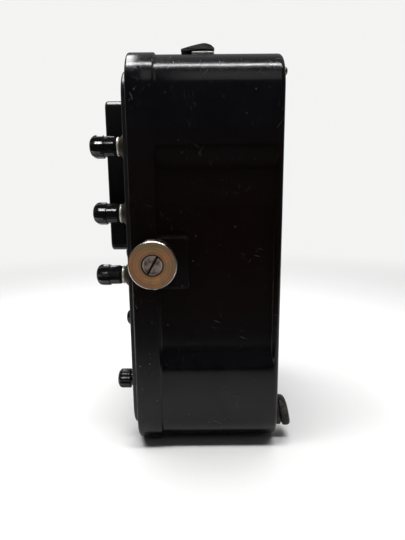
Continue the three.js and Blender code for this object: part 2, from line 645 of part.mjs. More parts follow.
/** The strap seen from the front: flat under its end plates, arched between them. */
function strapOutline() {
  const { halfSpan, thickness, rise } = STRAP;
  const lift = CASE_HEIGHT + rise - thickness - STRAP_BOTTOM;
  const half = [[halfSpan, 0], [33, 0], [29, 0.1], [26, 0.38], [20, 0.72], [10, 0.95], [0, 1]];
  const route = [...half, ...half.slice(0, -1).reverse().map(([x, share]) => [-x, share])];
  const points = route.map(([x, share]) => new THREE.Vector2(x, STRAP_BOTTOM + share * lift));
  const curve = new THREE.SplineCurve(points);
  const underside = curve.getPoints(STRAP_STEPS);
  const outside = underside.map((point, i) => {
    const tangent = curve.getTangent(i / STRAP_STEPS);
    return new THREE.Vector2(point.x + tangent.y * thickness, point.y - tangent.x * thickness);
  });
  return new THREE.Shape([...underside, ...outside.reverse()]);
}

/** A screw hole up through the strap or one of its plates. */
function strapHole(x) {
  const hole = new THREE.CylinderGeometry(STRAP_HOLE, STRAP_HOLE, 12, 12).rotateX(Math.PI / 2);
  return solid(hole.translate(x, STRAP.y, BODY_TOP));
}

function makeHandStrap() {
  const { x: plateX, halfLength, thickness, front, back } = STRAP_PLATE;
  const band = alongY(strapOutline(), STRAP.y - STRAP.width / 2, STRAP.y + STRAP.width / 2);
  addPiece('hand_strap', cut(band, strapHole(-plateX), strapHole(plateX)), LEATHER);
  const screw = turned([
    [0, 1.1], [1.8, 0.9], [3, 0], [1.5, 0], [1.5, -11], [0, -11],
  ], 16).rotateX(-Math.PI / 2);
  for (const [name, side] of [['right', 1], ['left', -1]]) {
    const x = side * plateX;
    const plate = box([x - halfLength, x + halfLength], [front, back], [PLATE_LOW, PLATE_LOW + thickness]);
    addPiece(`strap_plate_${name}`, cut(plate, strapHole(x)), NICKEL);
    const mesh = addPiece(`strap_plate_screw_${name}`, solid(screw), NICKEL);
    mesh.position.set(x, STRAP.y, STRAP_BOTTOM + STRAP.thickness + GAP);
  }
}

// ---- Back: feet, screws, battery ----

function makeBackFittings() {
  const outline = new THREE.Shape([
    [GAP, 6.6], [8.2, 6.6], [9.6, 7.6], [9.8, 9.4], [6.2, 21.8], [5.2, 22.8], [GAP, 22.8],
  ].map(([y, z]) => new THREE.Vector2(CASE_BACK + y, z)));
  const screw = solid(turned([
    [0, -2], [1.4, -1.8], [1.9, -1.2], [1.9, -GAP], [1.3, -GAP], [1.3, 9], [0, 9],
  ], 16));
  for (const [name, side] of [['right', 1], ['left', -1]]) {
    const wedge = alongX(outline, side * FOOT_X - 6.5, side * FOOT_X + 6.5);
    const stem = rod(side * FOOT_X, FOOT_STEM.z, FOOT_STEM.radius, CASE_BACK - 3, CASE_BACK + 1, 12);
    addPiece(`rubber_foot_${name}`, join(wedge, stem), RUBBER);
    const mesh = addPiece(`back_screw_${name}`, screw, BRASS);
    mesh.position.set(side * BACK_SCREW.x, CASE_BACK, BACK_SCREW.z);
  }
}

function makeBattery() {
  const cellY = 17;
  const cellZ = (BATTERY.low + BATTERY.high) / 2;
  const tube = new THREE.CylinderGeometry(13, 13, 46, 20).rotateZ(Math.PI / 2);
  const nub = new THREE.CylinderGeometry(3, 3, 4, 12).rotateZ(Math.PI / 2);
  const cell = join(
    solid(tube.translate(0, cellY, cellZ)),
    solid(nub.translate(23, cellY, cellZ)));
  addPiece('battery_cell', cell, CELL_BLUE);
  const outline = roundedRectangle(COVER.halfWidth, COVER.low, COVER.high, 1);
  const plate = alongY(outline, CASE_BACK - COVER.depth, CASE_BACK, 0, 2);
  const grip = box([-8, 8], [CASE_BACK - 0.5, CASE_BACK + 1], [38, 40]);
  addPiece('battery_cover', join(plate, grip), BAKELITE);
}

// ---- Component board ----

const BOARD = { halfWidth: 34, low: 100, high: 178, front: -12, thickness: 1.6 };
const SPACER = { radius: 2.5, xs: [-30, 30], zs: [116, 172] };
const BOBBIN = { radius: 6, length: 12, xs: [-22, 0, 22], zs: [120, 152] };

/** Rods along Y, one at each crossing of the given columns and rows. */
function rodGrid({ xs, zs, radius }, yFront, yBack, segments) {
  return xs.flatMap((x) => zs.map((z) => rod(x, z, radius, yFront, yBack, segments)));
}

function makeComponentBoard() {
  const { halfWidth, low, high, front, thickness } = BOARD;
  const back = front + thickness;
  const board = box([-halfWidth, halfWidth], [front, back], [low, high]);
  const spacers = rodGrid(SPACER, BRACKET.plateBack + GAP, front + 0.5, 8);
  const bobbins = rodGrid(BOBBIN, back - 0.6, back - 0.6 + BOBBIN.length, 14);
  addPiece('component_board', join(board, ...spacers, ...bobbins), PHENOLIC);
}

makeCase();
makePanel();
makeMeterHousing();
makeZeroAdjuster();
makeMagnetCircuit();
makeMovementBracket();
makeFrontBridge();
makeMovingCoil();
makePointer();
makeHairspring();
makeRangeSwitch();
makeOhmsZero();
makeTerminals();
makeStrapButtons();
makeHandStrap();
makeBackFittings();
makeBattery();
makeComponentBoard();

export default meter;
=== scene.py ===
"""Looks of the portable analog multimeter: bakelite case, terminals, meter, range knob and hand strap."""

import json
import math

import bmesh
import bpy
from mathutils import Matrix, Vector


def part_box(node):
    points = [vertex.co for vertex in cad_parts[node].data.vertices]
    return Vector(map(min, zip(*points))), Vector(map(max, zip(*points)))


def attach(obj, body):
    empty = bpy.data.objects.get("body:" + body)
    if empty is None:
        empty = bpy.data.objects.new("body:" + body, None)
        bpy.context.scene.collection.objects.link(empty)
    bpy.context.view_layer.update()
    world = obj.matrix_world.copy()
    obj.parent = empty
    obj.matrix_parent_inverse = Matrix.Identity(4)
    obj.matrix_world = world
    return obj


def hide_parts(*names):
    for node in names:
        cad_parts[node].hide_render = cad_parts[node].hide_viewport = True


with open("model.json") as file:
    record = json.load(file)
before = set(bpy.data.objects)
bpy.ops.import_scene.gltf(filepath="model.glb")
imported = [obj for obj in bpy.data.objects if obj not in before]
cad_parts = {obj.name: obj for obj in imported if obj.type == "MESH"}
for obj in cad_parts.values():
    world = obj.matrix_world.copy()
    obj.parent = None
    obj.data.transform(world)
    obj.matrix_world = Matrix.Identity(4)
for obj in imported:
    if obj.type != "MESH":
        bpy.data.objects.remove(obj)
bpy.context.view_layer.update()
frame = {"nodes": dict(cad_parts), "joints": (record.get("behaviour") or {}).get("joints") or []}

MM = 0.001
FORWARD = (0, -1, 0)
BACKWARD = (0, 1, 0)

# ---- Places taken from the frame, in millimetres ----


def node_box(node):
    """Lowest and highest corners of a CAD node, in millimetres."""
    low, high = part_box(node)
    return low / MM, high / MM


def node_middle(node):
    low, high = node_box(node)
    return [(a + b) / 2 for a, b in zip(low, high)]


CASE_LOW, CASE_HIGH = node_box("case_tub")
PANEL_LOW, PANEL_HIGH = node_box("front_panel")
BEZEL_LOW, BEZEL_HIGH = node_box("meter_bezel")
WINDOW_LOW, WINDOW_HIGH = node_box("meter_window")
DIAL_LOW, DIAL_HIGH = node_box("dial_plate")
STRAP_LOW, STRAP_HIGH = node_box("hand_strap")
RANGE_LOW, RANGE_HIGH = node_box("range_knob")
PANEL_FACE = PANEL_LOW.y
BEZEL_FRONT = BEZEL_LOW.y
CASE_FRONT = CASE_LOW.y
CASE_BACK = CASE_HIGH.y
CASE_TOP = CASE_HIGH.z
HALF_WIDTH = CASE_HIGH.x
PIVOT = Vector(next(j["pos_m"] for j in frame["joints"] if j["name"] == "pointer_swing")) / MM
CAPS = [name for name in frame["nodes"] if name.startswith("terminal_") and name.endswith("_cap")]
TERMINALS = sorted(name.removesuffix("_cap") for name in CAPS)

# ---- Mesh helpers ----


def link(name, mesh):
    piece = bpy.data.objects.new(name, mesh)
    bpy.context.scene.collection.objects.link(piece)
    return piece


def from_bmesh(name, bm):
    """Makes an object from a bmesh drawn in millimetres."""
    bmesh.ops.remove_doubles(bm, verts=bm.verts, dist=1e-4)
    bmesh.ops.recalc_face_normals(bm, faces=bm.faces)
    bmesh.ops.scale(bm, vec=(MM, MM, MM), verts=bm.verts)
    mesh = bpy.data.meshes.new(name)
    bm.to_mesh(mesh)
    bm.free()
    return link(name, mesh)


def bake_modifiers(piece):
    """Replaces the piece's mesh with what its modifiers make of it."""
    depsgraph = bpy.context.evaluated_depsgraph_get()
    baked = bpy.data.meshes.new_from_object(piece.evaluated_get(depsgraph))
    piece.modifiers.clear()
    piece.data = baked
    baked.name = piece.name
    return piece


def shade(piece, angle=35):
    """Smooth faces, with edges sharper than the angle left crisp."""
    bm = bmesh.new()
    bm.from_mesh(piece.data)
    limit = math.radians(angle)
    for face in bm.faces:
        face.smooth = True
    for edge in bm.edges:
        edge.smooth = edge.calc_face_angle(0) < limit
    bm.to_mesh(piece.data)
    bm.free()
    return piece


def bevel(piece, width, segments=3, angle=40):
    modifier = piece.modifiers.new("bevel", "BEVEL")
    modifier.width = width * MM
    modifier.segments = segments
    modifier.limit_method = "ANGLE"
    modifier.angle_limit = math.radians(angle)
    modifier.use_clamp_overlap = True
    return bake_modifiers(piece)


def boolean(piece, tools, operation="DIFFERENCE"):
    """Cuts or joins the tools into the piece, and removes them."""
    for tool in tools:
        modifier = piece.modifiers.new("boolean", "BOOLEAN")
        modifier.operation = operation
        modifier.solver = "EXACT"
        modifier.object = tool
    bake_modifiers(piece)
    for tool in tools:
        bpy.data.objects.remove(tool)
    return piece


def box_piece(name, low, high):
    bm = bmesh.new()
    bmesh.ops.create_cube(bm, size=1)
    low, high = Vector(low), Vector(high)
    size = high - low
    bmesh.ops.scale(bm, vec=size, verts=bm.verts)
    bmesh.ops.translate(bm, vec=(low + high) / 2, verts=bm.verts)
    return from_bmesh(name, bm)


def fillet(points, steps=5):
    """Rounds the corners of an open profile. A point is (a, b) or (a, b, radius)."""
    result = []
    last = len(points) - 1
    for i, point in enumerate(points):
        here = Vector(point[:2])
        radius = point[2] if len(point) > 2 else 0
        if radius == 0 or i in (0, last):
            result.append(here)
            continue
        before = Vector(points[i - 1][:2]) - here
        after = Vector(points[i + 1][:2]) - here
        half = before.angle(after) / 2
        reach = min(radius / math.tan(half), 0.49 * before.length, 0.49 * after.length)
        start = here + before.normalized() * reach
        end = here + after.normalized() * reach
        for step in range(steps + 1):
            t = step / steps
            result.append((1 - t) ** 2 * start + 2 * t * (1 - t) * here + t**2 * end)
    return result


def lathe(name, profile, centre, out, segments=64, shape=None):
    """Turns a profile of (radius, distance) about the line through centre along out.

    shape(radius, distance, angle) may return another radius, for flutes and knurls.
    """
    centre = Vector(centre)
    out = Vector(out).normalized()
    side = Vector((0, 0, 1)) if abs(out.z) < 0.5 else Vector((0, 1, 0))
    other = out.cross(side)
    bm = bmesh.new()
    rings = []
    for radius, distance in profile:
        middle = centre + out * distance
        if radius < 1e-6:
            rings.append([bm.verts.new(middle)])
            continue
        ring = []
        for i in range(segments):
            angle = 2 * math.pi * i / segments
            r = shape(radius, distance, angle) if shape else radius
            ring.append(bm.verts.new(middle + (side * math.cos(angle) + other * math.sin(angle)) * r))
        rings.append(ring)
    for one, two in zip(rings, rings[1:]):
        join_rings(bm, one, two)
    return shade(from_bmesh(name, bm))


def join_rings(bm, one, two):
    """Faces between two rings, either of which may be a single point."""
    count = max(len(one), len(two))
    for i in range(count):
        j = (i + 1) % count
        corners = [one[i % len(one)], one[j % len(one)], two[j % len(two)], two[i % len(two)]]
        unique = list(dict.fromkeys(corners))
        if len(unique) > 2:
            bm.faces.new(unique)


def loft(name, rings):
    """A skin over rings that have equally many points, closed at both ends."""
    bm = bmesh.new()
    rings = [[bm.verts.new(point) for point in ring] for ring in rings]
    for one, two in zip(rings, rings[1:]):
        join_rings(bm, one, two)
    bm.faces.new(rings[0])
    bm.faces.new(rings[-1])
    return from_bmesh(name, bm)


def rounded_rectangle(half_width, low, high, corner, steps=8):
    """Outline of (x, z) points, anticlockwise."""
    right = half_width - corner
    points = []
    for x, z, start in ((right, low + corner, -90), (right, high - corner, 0),
                        (-right, high - corner, 90), (-right, low + corner, 180)):
        for step in range(steps + 1):
            angle = math.radians(start + 90 * step / steps)
            points.append((x + corner * math.cos(angle), z + corner * math.sin(angle)))
    return points


def plate(name, outline, y_front, y_back, edge=0, steps=4):
    """A plate facing -Y from an (x, z) outline, with its front edge rounded by `edge`."""
    layers = [(y_front, 0)]
    if edge:
        turns = [step * math.pi / 2 / steps for step in range(steps, -1, -1)]
        layers = [(y_front + edge * (1 - math.sin(turn)), edge * (1 - math.cos(turn))) for turn in turns]
    normals = []
    for before, after in zip(outline[-1:] + outline[:-1], outline[1:] + outline[:1]):
        run = (Vector(after) - Vector(before)).normalized()
        normals.append(Vector((run.y, -run.x)))
    rings = []
    for y, inset in layers + [(y_back, 0)]:
        rings.append([(x - n.x * inset, y, z - n.y * inset) for (x, z), n in zip(outline, normals)])
    return shade(loft(name, rings))


def dome(radius, front, depth, power, steps):
    """Profile of a rounded end, from its tip out to its full radius."""
    turns = [step * math.pi / 2 / steps for step in range(steps + 1)]
    return [(radius * math.sin(turn) ** power, front - depth * (1 - math.cos(turn))) for turn in turns]


def smoothstep(low, high, value):
    t = min(max((value - low) / (high - low), 0), 1)
    return t * t * (3 - 2 * t)


def dress(piece, material, body, replaces=()):
    """Gives a piece its one material and its body, and hides the CAD nodes it stands for."""
    piece.data.materials.clear()
    piece.data.materials.append(material)
    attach(piece, body)
    if replaces:
        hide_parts(*replaces)
    return piece


# ---- Materials ----


class Graph:
    """A node tree that is built up one node at a time."""

    def __init__(self, tree, space):
        self.tree = tree
        self.coordinates = tree.nodes.new("ShaderNodeTexCoord").outputs[space]

    def node(self, kind, inputs=(), **settings):
        node = self.tree.nodes.new(kind)
        for key, value in settings.items():
            setattr(node, key, value)
        for socket, value in dict(inputs).items():
            if isinstance(value, bpy.types.NodeSocket):
                self.tree.links.new(value, node.inputs[socket])
            else:
                node.inputs[socket].default_value = value
        return node

    def noise(self, scale, detail=4, roughness=0.55, vector=None, distortion=0.0):
        inputs = {"Vector": vector or self.coordinates, "Scale": scale, "Detail": detail,
                  "Roughness": roughness, "Distortion": distortion}
        return self.node("ShaderNodeTexNoise", inputs).outputs["Fac"]

    def spread(self, value, low, high, new_low=0.0, new_high=1.0):
        """Maps low to high onto new_low to new_high, easing at both ends."""
        inputs = {"Value": value, "From Min": low, "From Max": high, "To Min": new_low, "To Max": new_high}
        return self.node("ShaderNodeMapRange", inputs, interpolation_type="SMOOTHSTEP").outputs["Result"]

    def math(self, operation, *values):
        return self.node("ShaderNodeMath", dict(enumerate(values)), operation=operation).outputs[0]

    def times(self, first, second):
        return self.math("MULTIPLY", first, second)

    def plus(self, first, second):
        return self.math("ADD", first, second)

    def mix(self, share, first, second):
        """A mix of two colours, each a socket or three numbers."""
        first, second = (value if isinstance(value, bpy.types.NodeSocket) else (*value, 1)
                         for value in (first, second))
        return self.node("ShaderNodeMix", {0: share, 6: first, 7: second}, data_type="RGBA").outputs[2]

    def axis(self, index):
        return self.node("ShaderNodeSeparateXYZ", {0: self.coordinates}).outputs[index]

    def scaled(self, x, y, z):
        """The coordinates, scaled along each axis."""
        inputs = {"Vector": self.coordinates, "Scale": (x, y, z)}
        return self.node("ShaderNodeMapping", inputs).outputs["Vector"]


class Recipe(Graph):
    """The nodes of one material."""

    def __init__(self, name, **settings):
        self.material = bpy.data.materials.new(name)
        self.material.use_nodes = True
        super().__init__(self.material.node_tree, "Object")
        self.shader = self.tree.nodes["Principled BSDF"]
        for socket, value in settings.items():
            self.shader.inputs[socket.replace("_", " ")].default_value = value

    def set(self, socket, value):
        self.tree.links.new(value, self.shader.inputs[socket])

    def colour(self, value):
        self.set("Base Color", value)

    def rough(self, value):
        self.set("Roughness", value)

    def bump(self, height, strength, distance):
        node = self.node("ShaderNodeBump", {"Height": height, "Strength": strength, "Distance": distance})
        previous = self.shader.inputs["Normal"].links
        if previous:
            self.tree.links.new(previous[0].from_socket, node.inputs["Normal"])
        self.set("Normal", node.outputs["Normal"])


def scratches(recipe, angle, length=25, fineness=900, cut=0.7, seed=0.0, plane="yz"):
    """Thin straight marks in one direction: noise stretched along the mark."""
    turn = (angle, 0, 0) if plane == "yz" else (0, angle, 0)
    turned = recipe.node("ShaderNodeVectorRotate", {"Vector": recipe.coordinates, "Rotation": turn},
                         rotation_type="EULER_XYZ").outputs[0]
    scale = (200, length, fineness) if plane == "yz" else (length, 200, fineness)
    stretched = recipe.node("ShaderNodeMapping", {"Vector": turned, "Scale": scale,
                                                  "Location": (seed, seed, seed)}).outputs["Vector"]
    raw = recipe.noise(1.0, detail=1.5, roughness=0.4, vector=stretched, distortion=0.15)
    return recipe.spread(raw, cut, cut + 0.05)


def bakelite_material():
    """Glossy near-black moulding: hazy and scuffed where it stands proud, clean in the waist, where a faint
    reddish reflection is painted into the colour.
    """
    r = Recipe("bakelite", IOR=1.55)
    cloud = r.noise(28, detail=5)
    fine = r.noise(420, detail=4, roughness=0.7)
    across = r.math("ABSOLUTE", r.axis(0))
    proud = r.spread(across, (HALF_WIDTH - 3.6) * MM, (HALF_WIDTH - 1.3) * MM)
    low_block = r.times(proud, r.spread(r.axis(2), 0.060, 0.046))
    haze = r.times(r.times(proud, r.spread(cloud, 0.35, 0.7)), 0.6)
    side_face = r.spread(across, (HALF_WIDTH - 9) * MM, (HALF_WIDTH - 4) * MM)
    top = r.times(r.spread(r.axis(2), 0.185, 0.204), side_face)
    marks_a = scratches(r, 0.35, length=130, fineness=1700, seed=3.0)
    marks_b = scratches(r, -0.9, length=110, fineness=1700, seed=11.0, cut=0.71)
    marks_c = scratches(r, 1.35, length=160, fineness=1900, seed=23.0)
    crowd = r.spread(r.noise(35, detail=2), 0.5, 0.72)
    marks = r.math("MAXIMUM", r.math("MAXIMUM", marks_a, marks_b), marks_c)
    marks = r.times(marks, r.math("MAXIMUM", crowd, r.times(top, 0.8)))
    marks = r.times(marks, r.spread(side_face, 0.0, 1.0, 0.4, 1.0))
    specks = r.spread(r.noise(650, detail=2, roughness=0.3), 0.745, 0.78)
    specks = r.times(specks, r.spread(cloud, 0.4, 0.6))
    # Painted reflection: a faint reddish tint across the waist, between the lower and upper blocks.
    painted_reflection_tint = r.times(r.spread(r.axis(2), 0.175, 0.15), r.spread(r.axis(2), 0.055, 0.085))
    black = r.mix(painted_reflection_tint, (0.0038, 0.0035, 0.0044), (0.0062, 0.0032, 0.003))
    base = r.mix(haze, black, (0.0078, 0.0074, 0.0092))
    mottle = r.mix(r.spread(r.noise(150, detail=5, roughness=0.7), 0.35, 0.65), (0.0025, 0.0022, 0.0026),
                   (0.0066, 0.006, 0.007))
    base = r.mix(low_block, base, mottle)
    base = r.mix(r.times(marks, 0.4), base, (0.14, 0.13, 0.13))
    base = r.mix(r.times(specks, 0.7), base, (0.22, 0.2, 0.19))
    r.colour(base)
    r.set("Specular IOR Level", r.spread(low_block, 0.0, 1.0, 0.5, 0.4))
    rough = r.spread(cloud, 0.3, 0.75, 0.07, 0.13)
    rough = r.plus(rough, r.times(haze, 0.06))
    rough = r.plus(rough, r.times(low_block, 0.03))
    rough = r.plus(rough, r.times(r.spread(r.axis(2), 0.186, 0.198), 0.06))
    rough = r.plus(rough, r.times(marks, 0.3))
    rough = r.plus(rough, r.spread(fine, 0.4, 0.7, 0.0, 0.06))
    r.rough(rough)
    r.bump(r.noise(60, detail=3), 0.25, 0.0003)
    r.bump(marks, -0.35, 0.00008)
    r.bump(fine, 0.08, 0.00005)
    return r.material


def black_moulding(name, base, roughness):
    """Polished black moulding with faint dust and handling marks."""
    r = Recipe(name, IOR=1.52)
    cloud = r.noise(120, detail=4)
    dust = r.spread(r.noise(900, detail=3, roughness=0.7), 0.66, 0.8)
    dust = r.times(dust, r.spread(cloud, 0.45, 0.65))
    r.colour(r.mix(r.times(dust, 0.35), base, (0.11, 0.105, 0.1)))
    r.rough(r.spread(cloud, 0.3, 0.75, roughness, roughness + 0.14))
    r.bump(r.noise(700, detail=3), 0.05, 0.0001)
    return r.material


def panel_material():
    """Satin black laminate, slightly marbled, with fine rubbed marks."""
    r = Recipe("panel_laminate", IOR=1.5)
    cloud = r.noise(40, detail=5)
    one_way, other_way = scratches(r, 0.5, plane="xz"), scratches(r, -0.7, seed=7.0, cut=0.71, plane="xz")
    marks = r.math("MAXIMUM", one_way, other_way)
    marks = r.times(marks, r.spread(r.noise(30), 0.5, 0.7))
    base = r.mix(cloud, (0.011, 0.011, 0.0115), (0.019, 0.0185, 0.019))
    r.colour(r.mix(r.times(marks, 0.4), base, (0.09, 0.09, 0.09)))
    r.rough(r.spread(cloud, 0.3, 0.7, 0.26, 0.4))
    r.bump(r.noise(1500, detail=2), 0.12, 0.00008)
    return r.material


def metal(name, base, tarnish, roughness, amount=0.5, bare=1.0):
    """Worn metal: two tones in blotches, fine polishing grain. Less bare means more dull skin."""
    r = Recipe(name, Metallic=bare)
    blotch = r.spread(r.noise(260, detail=5, roughness=0.65), 0.42, 0.66)
    r.colour(r.mix(r.times(blotch, amount), base, tarnish))
    fine = r.noise(900, detail=3, roughness=0.7)
    rough = r.spread(fine, 0.3, 0.7, roughness - 0.08, roughness + 0.08)
    r.rough(r.plus(rough, r.times(blotch, 0.12)))
    r.bump(fine, 0.12, 0.00006)
    return r.material


def collar_material():
    """Nickel, bright on the washer that the caps bear on and dark brown, near black, on the cone below it,
    next to the panel.
    """
    r = Recipe("collar_nickel", Metallic=0.5)
    blotch = r.noise(320, detail=4)
    near_panel = r.spread(r.axis(1), (PANEL_FACE - 3.1) * MM, (PANEL_FACE - 2.7) * MM)
    bright = r.mix(blotch, (0.92, 0.9, 0.84), (0.7, 0.65, 0.56))
    r.colour(r.mix(near_panel, bright, (0.05, 0.035, 0.025)))
    r.rough(r.plus(r.spread(blotch, 0.3, 0.7, 0.2, 0.32), r.times(near_panel, 0.15)))
    r.bump(r.noise(900, detail=3), 0.1, 0.00006)
    return r.material


def from_button_middle(r, side):
    """Distance out from a strap button's middle, and height above it."""
    centre = Vector((side * HALF_WIDTH, BUTTON_Y, MID_HEIGHT)) * MM
    dy = r.math("SUBTRACT", r.axis(1), centre.y)
    dz = r.math("SUBTRACT", r.axis(2), centre.z)
    return r.math("SQRT", r.plus(r.times(dy, dy), r.times(dz, dz))), dz


def worn_button_material(side):
    """Turned face of a strap button, worn to warm brown with concentric tool marks and a bright rim."""
    r = Recipe("worn_button_" + ("right" if side > 0 else "left"))
    radius, dz = from_button_middle(r, side)
    wobble = r.noise(140, detail=4)
    uneven = r.plus(radius, r.times(wobble, 0.0004))
    turning = r.node("ShaderNodeCombineXYZ", {0: uneven}).outputs[0]
    rings = r.noise(850, detail=3, roughness=0.7, vector=turning)
    blotch = r.spread(r.noise(170, detail=5, roughness=0.6), 0.4, 0.68)
    brown = r.mix(blotch, (0.42, 0.2, 0.092), (0.3, 0.2, 0.1))
    brown = r.mix(r.times(r.spread(wobble, 0.5, 0.68), 0.8), brown, (0.56, 0.235, 0.075))
    olive = r.spread(r.plus(dz, r.times(wobble, 0.006)), 0.0085, 0.012)
    brown = r.mix(r.times(olive, 0.7), brown, (0.26, 0.2, 0.1))
    brown = r.mix(r.spread(rings, 0.45, 0.62, 0.0, 0.5), brown, (0.13, 0.07, 0.04))
    pits = r.spread(r.noise(700, detail=3, roughness=0.6), 0.66, 0.75)
    brown = r.mix(r.times(pits, 0.6), brown, (0.07, 0.035, 0.02))
    # Painted shade: dark ring in the gap round the screw head.
    brown = r.mix(r.spread(radius, 0.0053, 0.0062, 0.8, 0.0), brown, (0.05, 0.028, 0.018))
    brown = r.mix(r.spread(radius, 0.0108, 0.0114, 0.0, 0.55), brown, (0.12, 0.08, 0.055))
    rim = r.spread(radius, 0.01152, 0.01162)
    r.colour(r.mix(rim, brown, (0.82, 0.76, 0.7)))
    r.set("Metallic", r.spread(rim, 0.0, 1.0, 0.25, 1.0))
    rough = r.spread(blotch, 0.0, 1.0, 0.38, 0.52)
    r.rough(r.math("SUBTRACT", rough, r.times(rim, 0.16)))
    r.bump(rings, 0.2, 0.00006)
    r.bump(pits, -0.4, 0.00008)
    return r.material


def button_screw_material(side):
    """Dulled screw head: mottled, pale round its edge as rubbed metal and painted highlight, with painted
    shade in its slot and below its face.
    """
    r = Recipe("button_screw_" + ("right" if side > 0 else "left"), Metallic=0.3)
    radius, _ = from_button_middle(r, side)
    blotch = r.noise(330, detail=5, roughness=0.7)
    face = r.mix(r.spread(blotch, 0.38, 0.62), (0.36, 0.27, 0.23), (0.11, 0.08, 0.07))
    patches = r.spread(r.noise(120, detail=2), 0.42, 0.6, 0.12, 0.9)
    # Pale edge ring: rubbed metal, and partly a painted highlight.
    edge = r.times(r.spread(radius, 0.0041, 0.0047), patches)
    face = r.mix(edge, face, (0.8, 0.72, 0.66))
    # Painted shade: near-black in the slot and on the head's side below its face.
    depth = r.math("ABSOLUTE", r.axis(0))
    low = r.spread(depth, (HALF_WIDTH + 5.1) * MM, (HALF_WIDTH + 5.6) * MM, 1.0, 0.0)
    r.colour(r.mix(low, face, (0.008, 0.006, 0.005)))
    r.rough(r.spread(blotch, 0.35, 0.65, 0.3, 0.5))
    r.bump(blotch, 0.5, 0.0002)
    return r.material


def leather_material():
    """Black leather: pebbled grain, rubbed grey in patches."""
    r = Recipe("leather_black", IOR=1.5)
    pebbles = {"Vector": r.coordinates, "Scale": 1100.0}
    cells = r.node("ShaderNodeTexVoronoi", pebbles, feature="DISTANCE_TO_EDGE").outputs[0]
    grain = r.spread(cells, 0.0, 0.14)
    creases = r.noise(260, detail=5, roughness=0.6, vector=r.scaled(2.4, 0.5, 1))
    rub = r.spread(r.noise(90, detail=4), 0.48, 0.75)
    base = r.mix(rub, (0.008, 0.0075, 0.0075), (0.03, 0.028, 0.027))
    base = r.mix(r.times(r.math("SUBTRACT", 1.0, grain), 0.5), base, (0.004, 0.004, 0.004))
    layers = r.noise(300, detail=4, vector=r.scaled(1, 0.35, 5))
    cut_end = r.spread(r.math("ABSOLUTE", r.axis(0)), (STRAP_HIGH.x - 0.15) * MM, (STRAP_HIGH.x - 0.05) * MM)
    cut_tone = r.mix(r.spread(layers, 0.38, 0.62), (0.02, 0.019, 0.019), (0.095, 0.09, 0.088))
    r.colour(r.mix(cut_end, base, cut_tone))
    r.rough(r.spread(rub, 0.0, 1.0, 0.42, 0.62))
    r.bump(grain, 0.3, 0.00012)
    r.bump(creases, 0.35, 0.0003)
    return r.material


def rubber_material():
    """Old black rubber with a brownish bloom."""
    r = Recipe("rubber_old", IOR=1.45)
    bloom = r.spread(r.noise(240, detail=5), 0.42, 0.62)
    r.colour(r.mix(bloom, (0.006, 0.0055, 0.005), (0.07, 0.06, 0.05)))
    r.rough(r.spread(bloom, 0.0, 1.0, 0.45, 0.75))
    r.bump(r.noise(800, detail=4), 0.25, 0.00015)
    return r.material


def darker(colour, share):
    return tuple(part * share for part in colour)


def paint_material(name, base, roughness=0.5):
    """Flat paint or print with a faint mottling."""
    r = Recipe(name)
    mottle = r.noise(300, detail=4)
    r.colour(r.mix(mottle, base, darker(base, 0.88)))
    r.rough(r.spread(mottle, 0.3, 0.7, roughness - 0.05, roughness + 0.08))
    r.bump(r.noise(1400, detail=2), 0.06, 0.00005)
    return r.material


def glass_material():
    r = Recipe("window_glass", Roughness=0.02, IOR=1.5, Transmission_Weight=1.0, Base_Color=(1, 1, 1, 1))
    smear = r.spread(r.noise(45, detail=5), 0.45, 0.7, 0.0, 0.05)
    r.rough(r.plus(smear, 0.015))
    return r.material


def winding_material(name, base):
    """Fine wire laid side by side."""
    r = Recipe(name, Metallic=0.7)
    turns = r.math("SINE", r.times(r.axis(1), 2 * math.pi / 0.0003))
    tone = r.noise(500, detail=3)
    r.colour(r.mix(tone, base, darker(base, 0.55)))
    r.rough(r.spread(tone, 0.3, 0.7, 0.3, 0.45))
    r.bump(turns, 0.5, 0.0001)
    return r.material


def phenolic_material():
    """Brown paper laminate."""
    r = Recipe("phenolic_paper", IOR=1.5)
    fibre = r.noise(300, detail=5, roughness=0.7, vector=r.scaled(0.4, 1, 2.2))
    r.colour(r.mix(fibre, (0.26, 0.12, 0.045), (0.13, 0.058, 0.022)))
    r.rough(r.spread(fibre, 0.3, 0.7, 0.4, 0.58))
    r.bump(fibre, 0.15, 0.0001)
    return r.material


# ---- Camera, light and floor ----

CAMERA_PLACE = Vector((0.2610, -0.0021, 0.1373))
CAMERA_PITCH = math.radians(10.5)
CAMERA_ROLL = math.radians(-0.49)
CAMERA_LENS = 27.47


def add_camera():
    data = bpy.data.cameras.new("camera")
    data.lens = CAMERA_LENS
    data.sensor_width = 36
    data.clip_start = 0.01
    camera = bpy.data.objects.new("camera", data)
    bpy.context.scene.collection.objects.link(camera)
    aim = Matrix.Rotation(math.radians(90), 4, "Z") @ Matrix.Rotation(math.radians(90) - CAMERA_PITCH, 4, "X")
    camera.matrix_world = Matrix.Translation(CAMERA_PLACE) @ aim @ Matrix.Rotation(CAMERA_ROLL, 4, "Z")
    bpy.context.scene.camera = camera


def add_area(name, place, target, size, energy, spread=180, mirrored=True):
    """An area lamp that leans only to left or right, so its size runs along X and Y.

    One that isn't mirrored lights surfaces without showing in their gloss.
    """
    data = bpy.data.lights.new(name, "AREA")
    data.spread = math.radians(spread)
    data.shape = "RECTANGLE"
    data.size, data.size_y = size
    data.energy = energy
    light = bpy.data.objects.new(name, data)
    light.visible_glossy = mirrored
    bpy.context.scene.collection.objects.link(light)
    light.location = place
    aim = Vector(target) - Vector(place)
    light.rotation_euler = (0, math.atan2(-aim.x, -aim.z), 0)


BACKDROP = (0.9, 0.9, 0.895, 1)


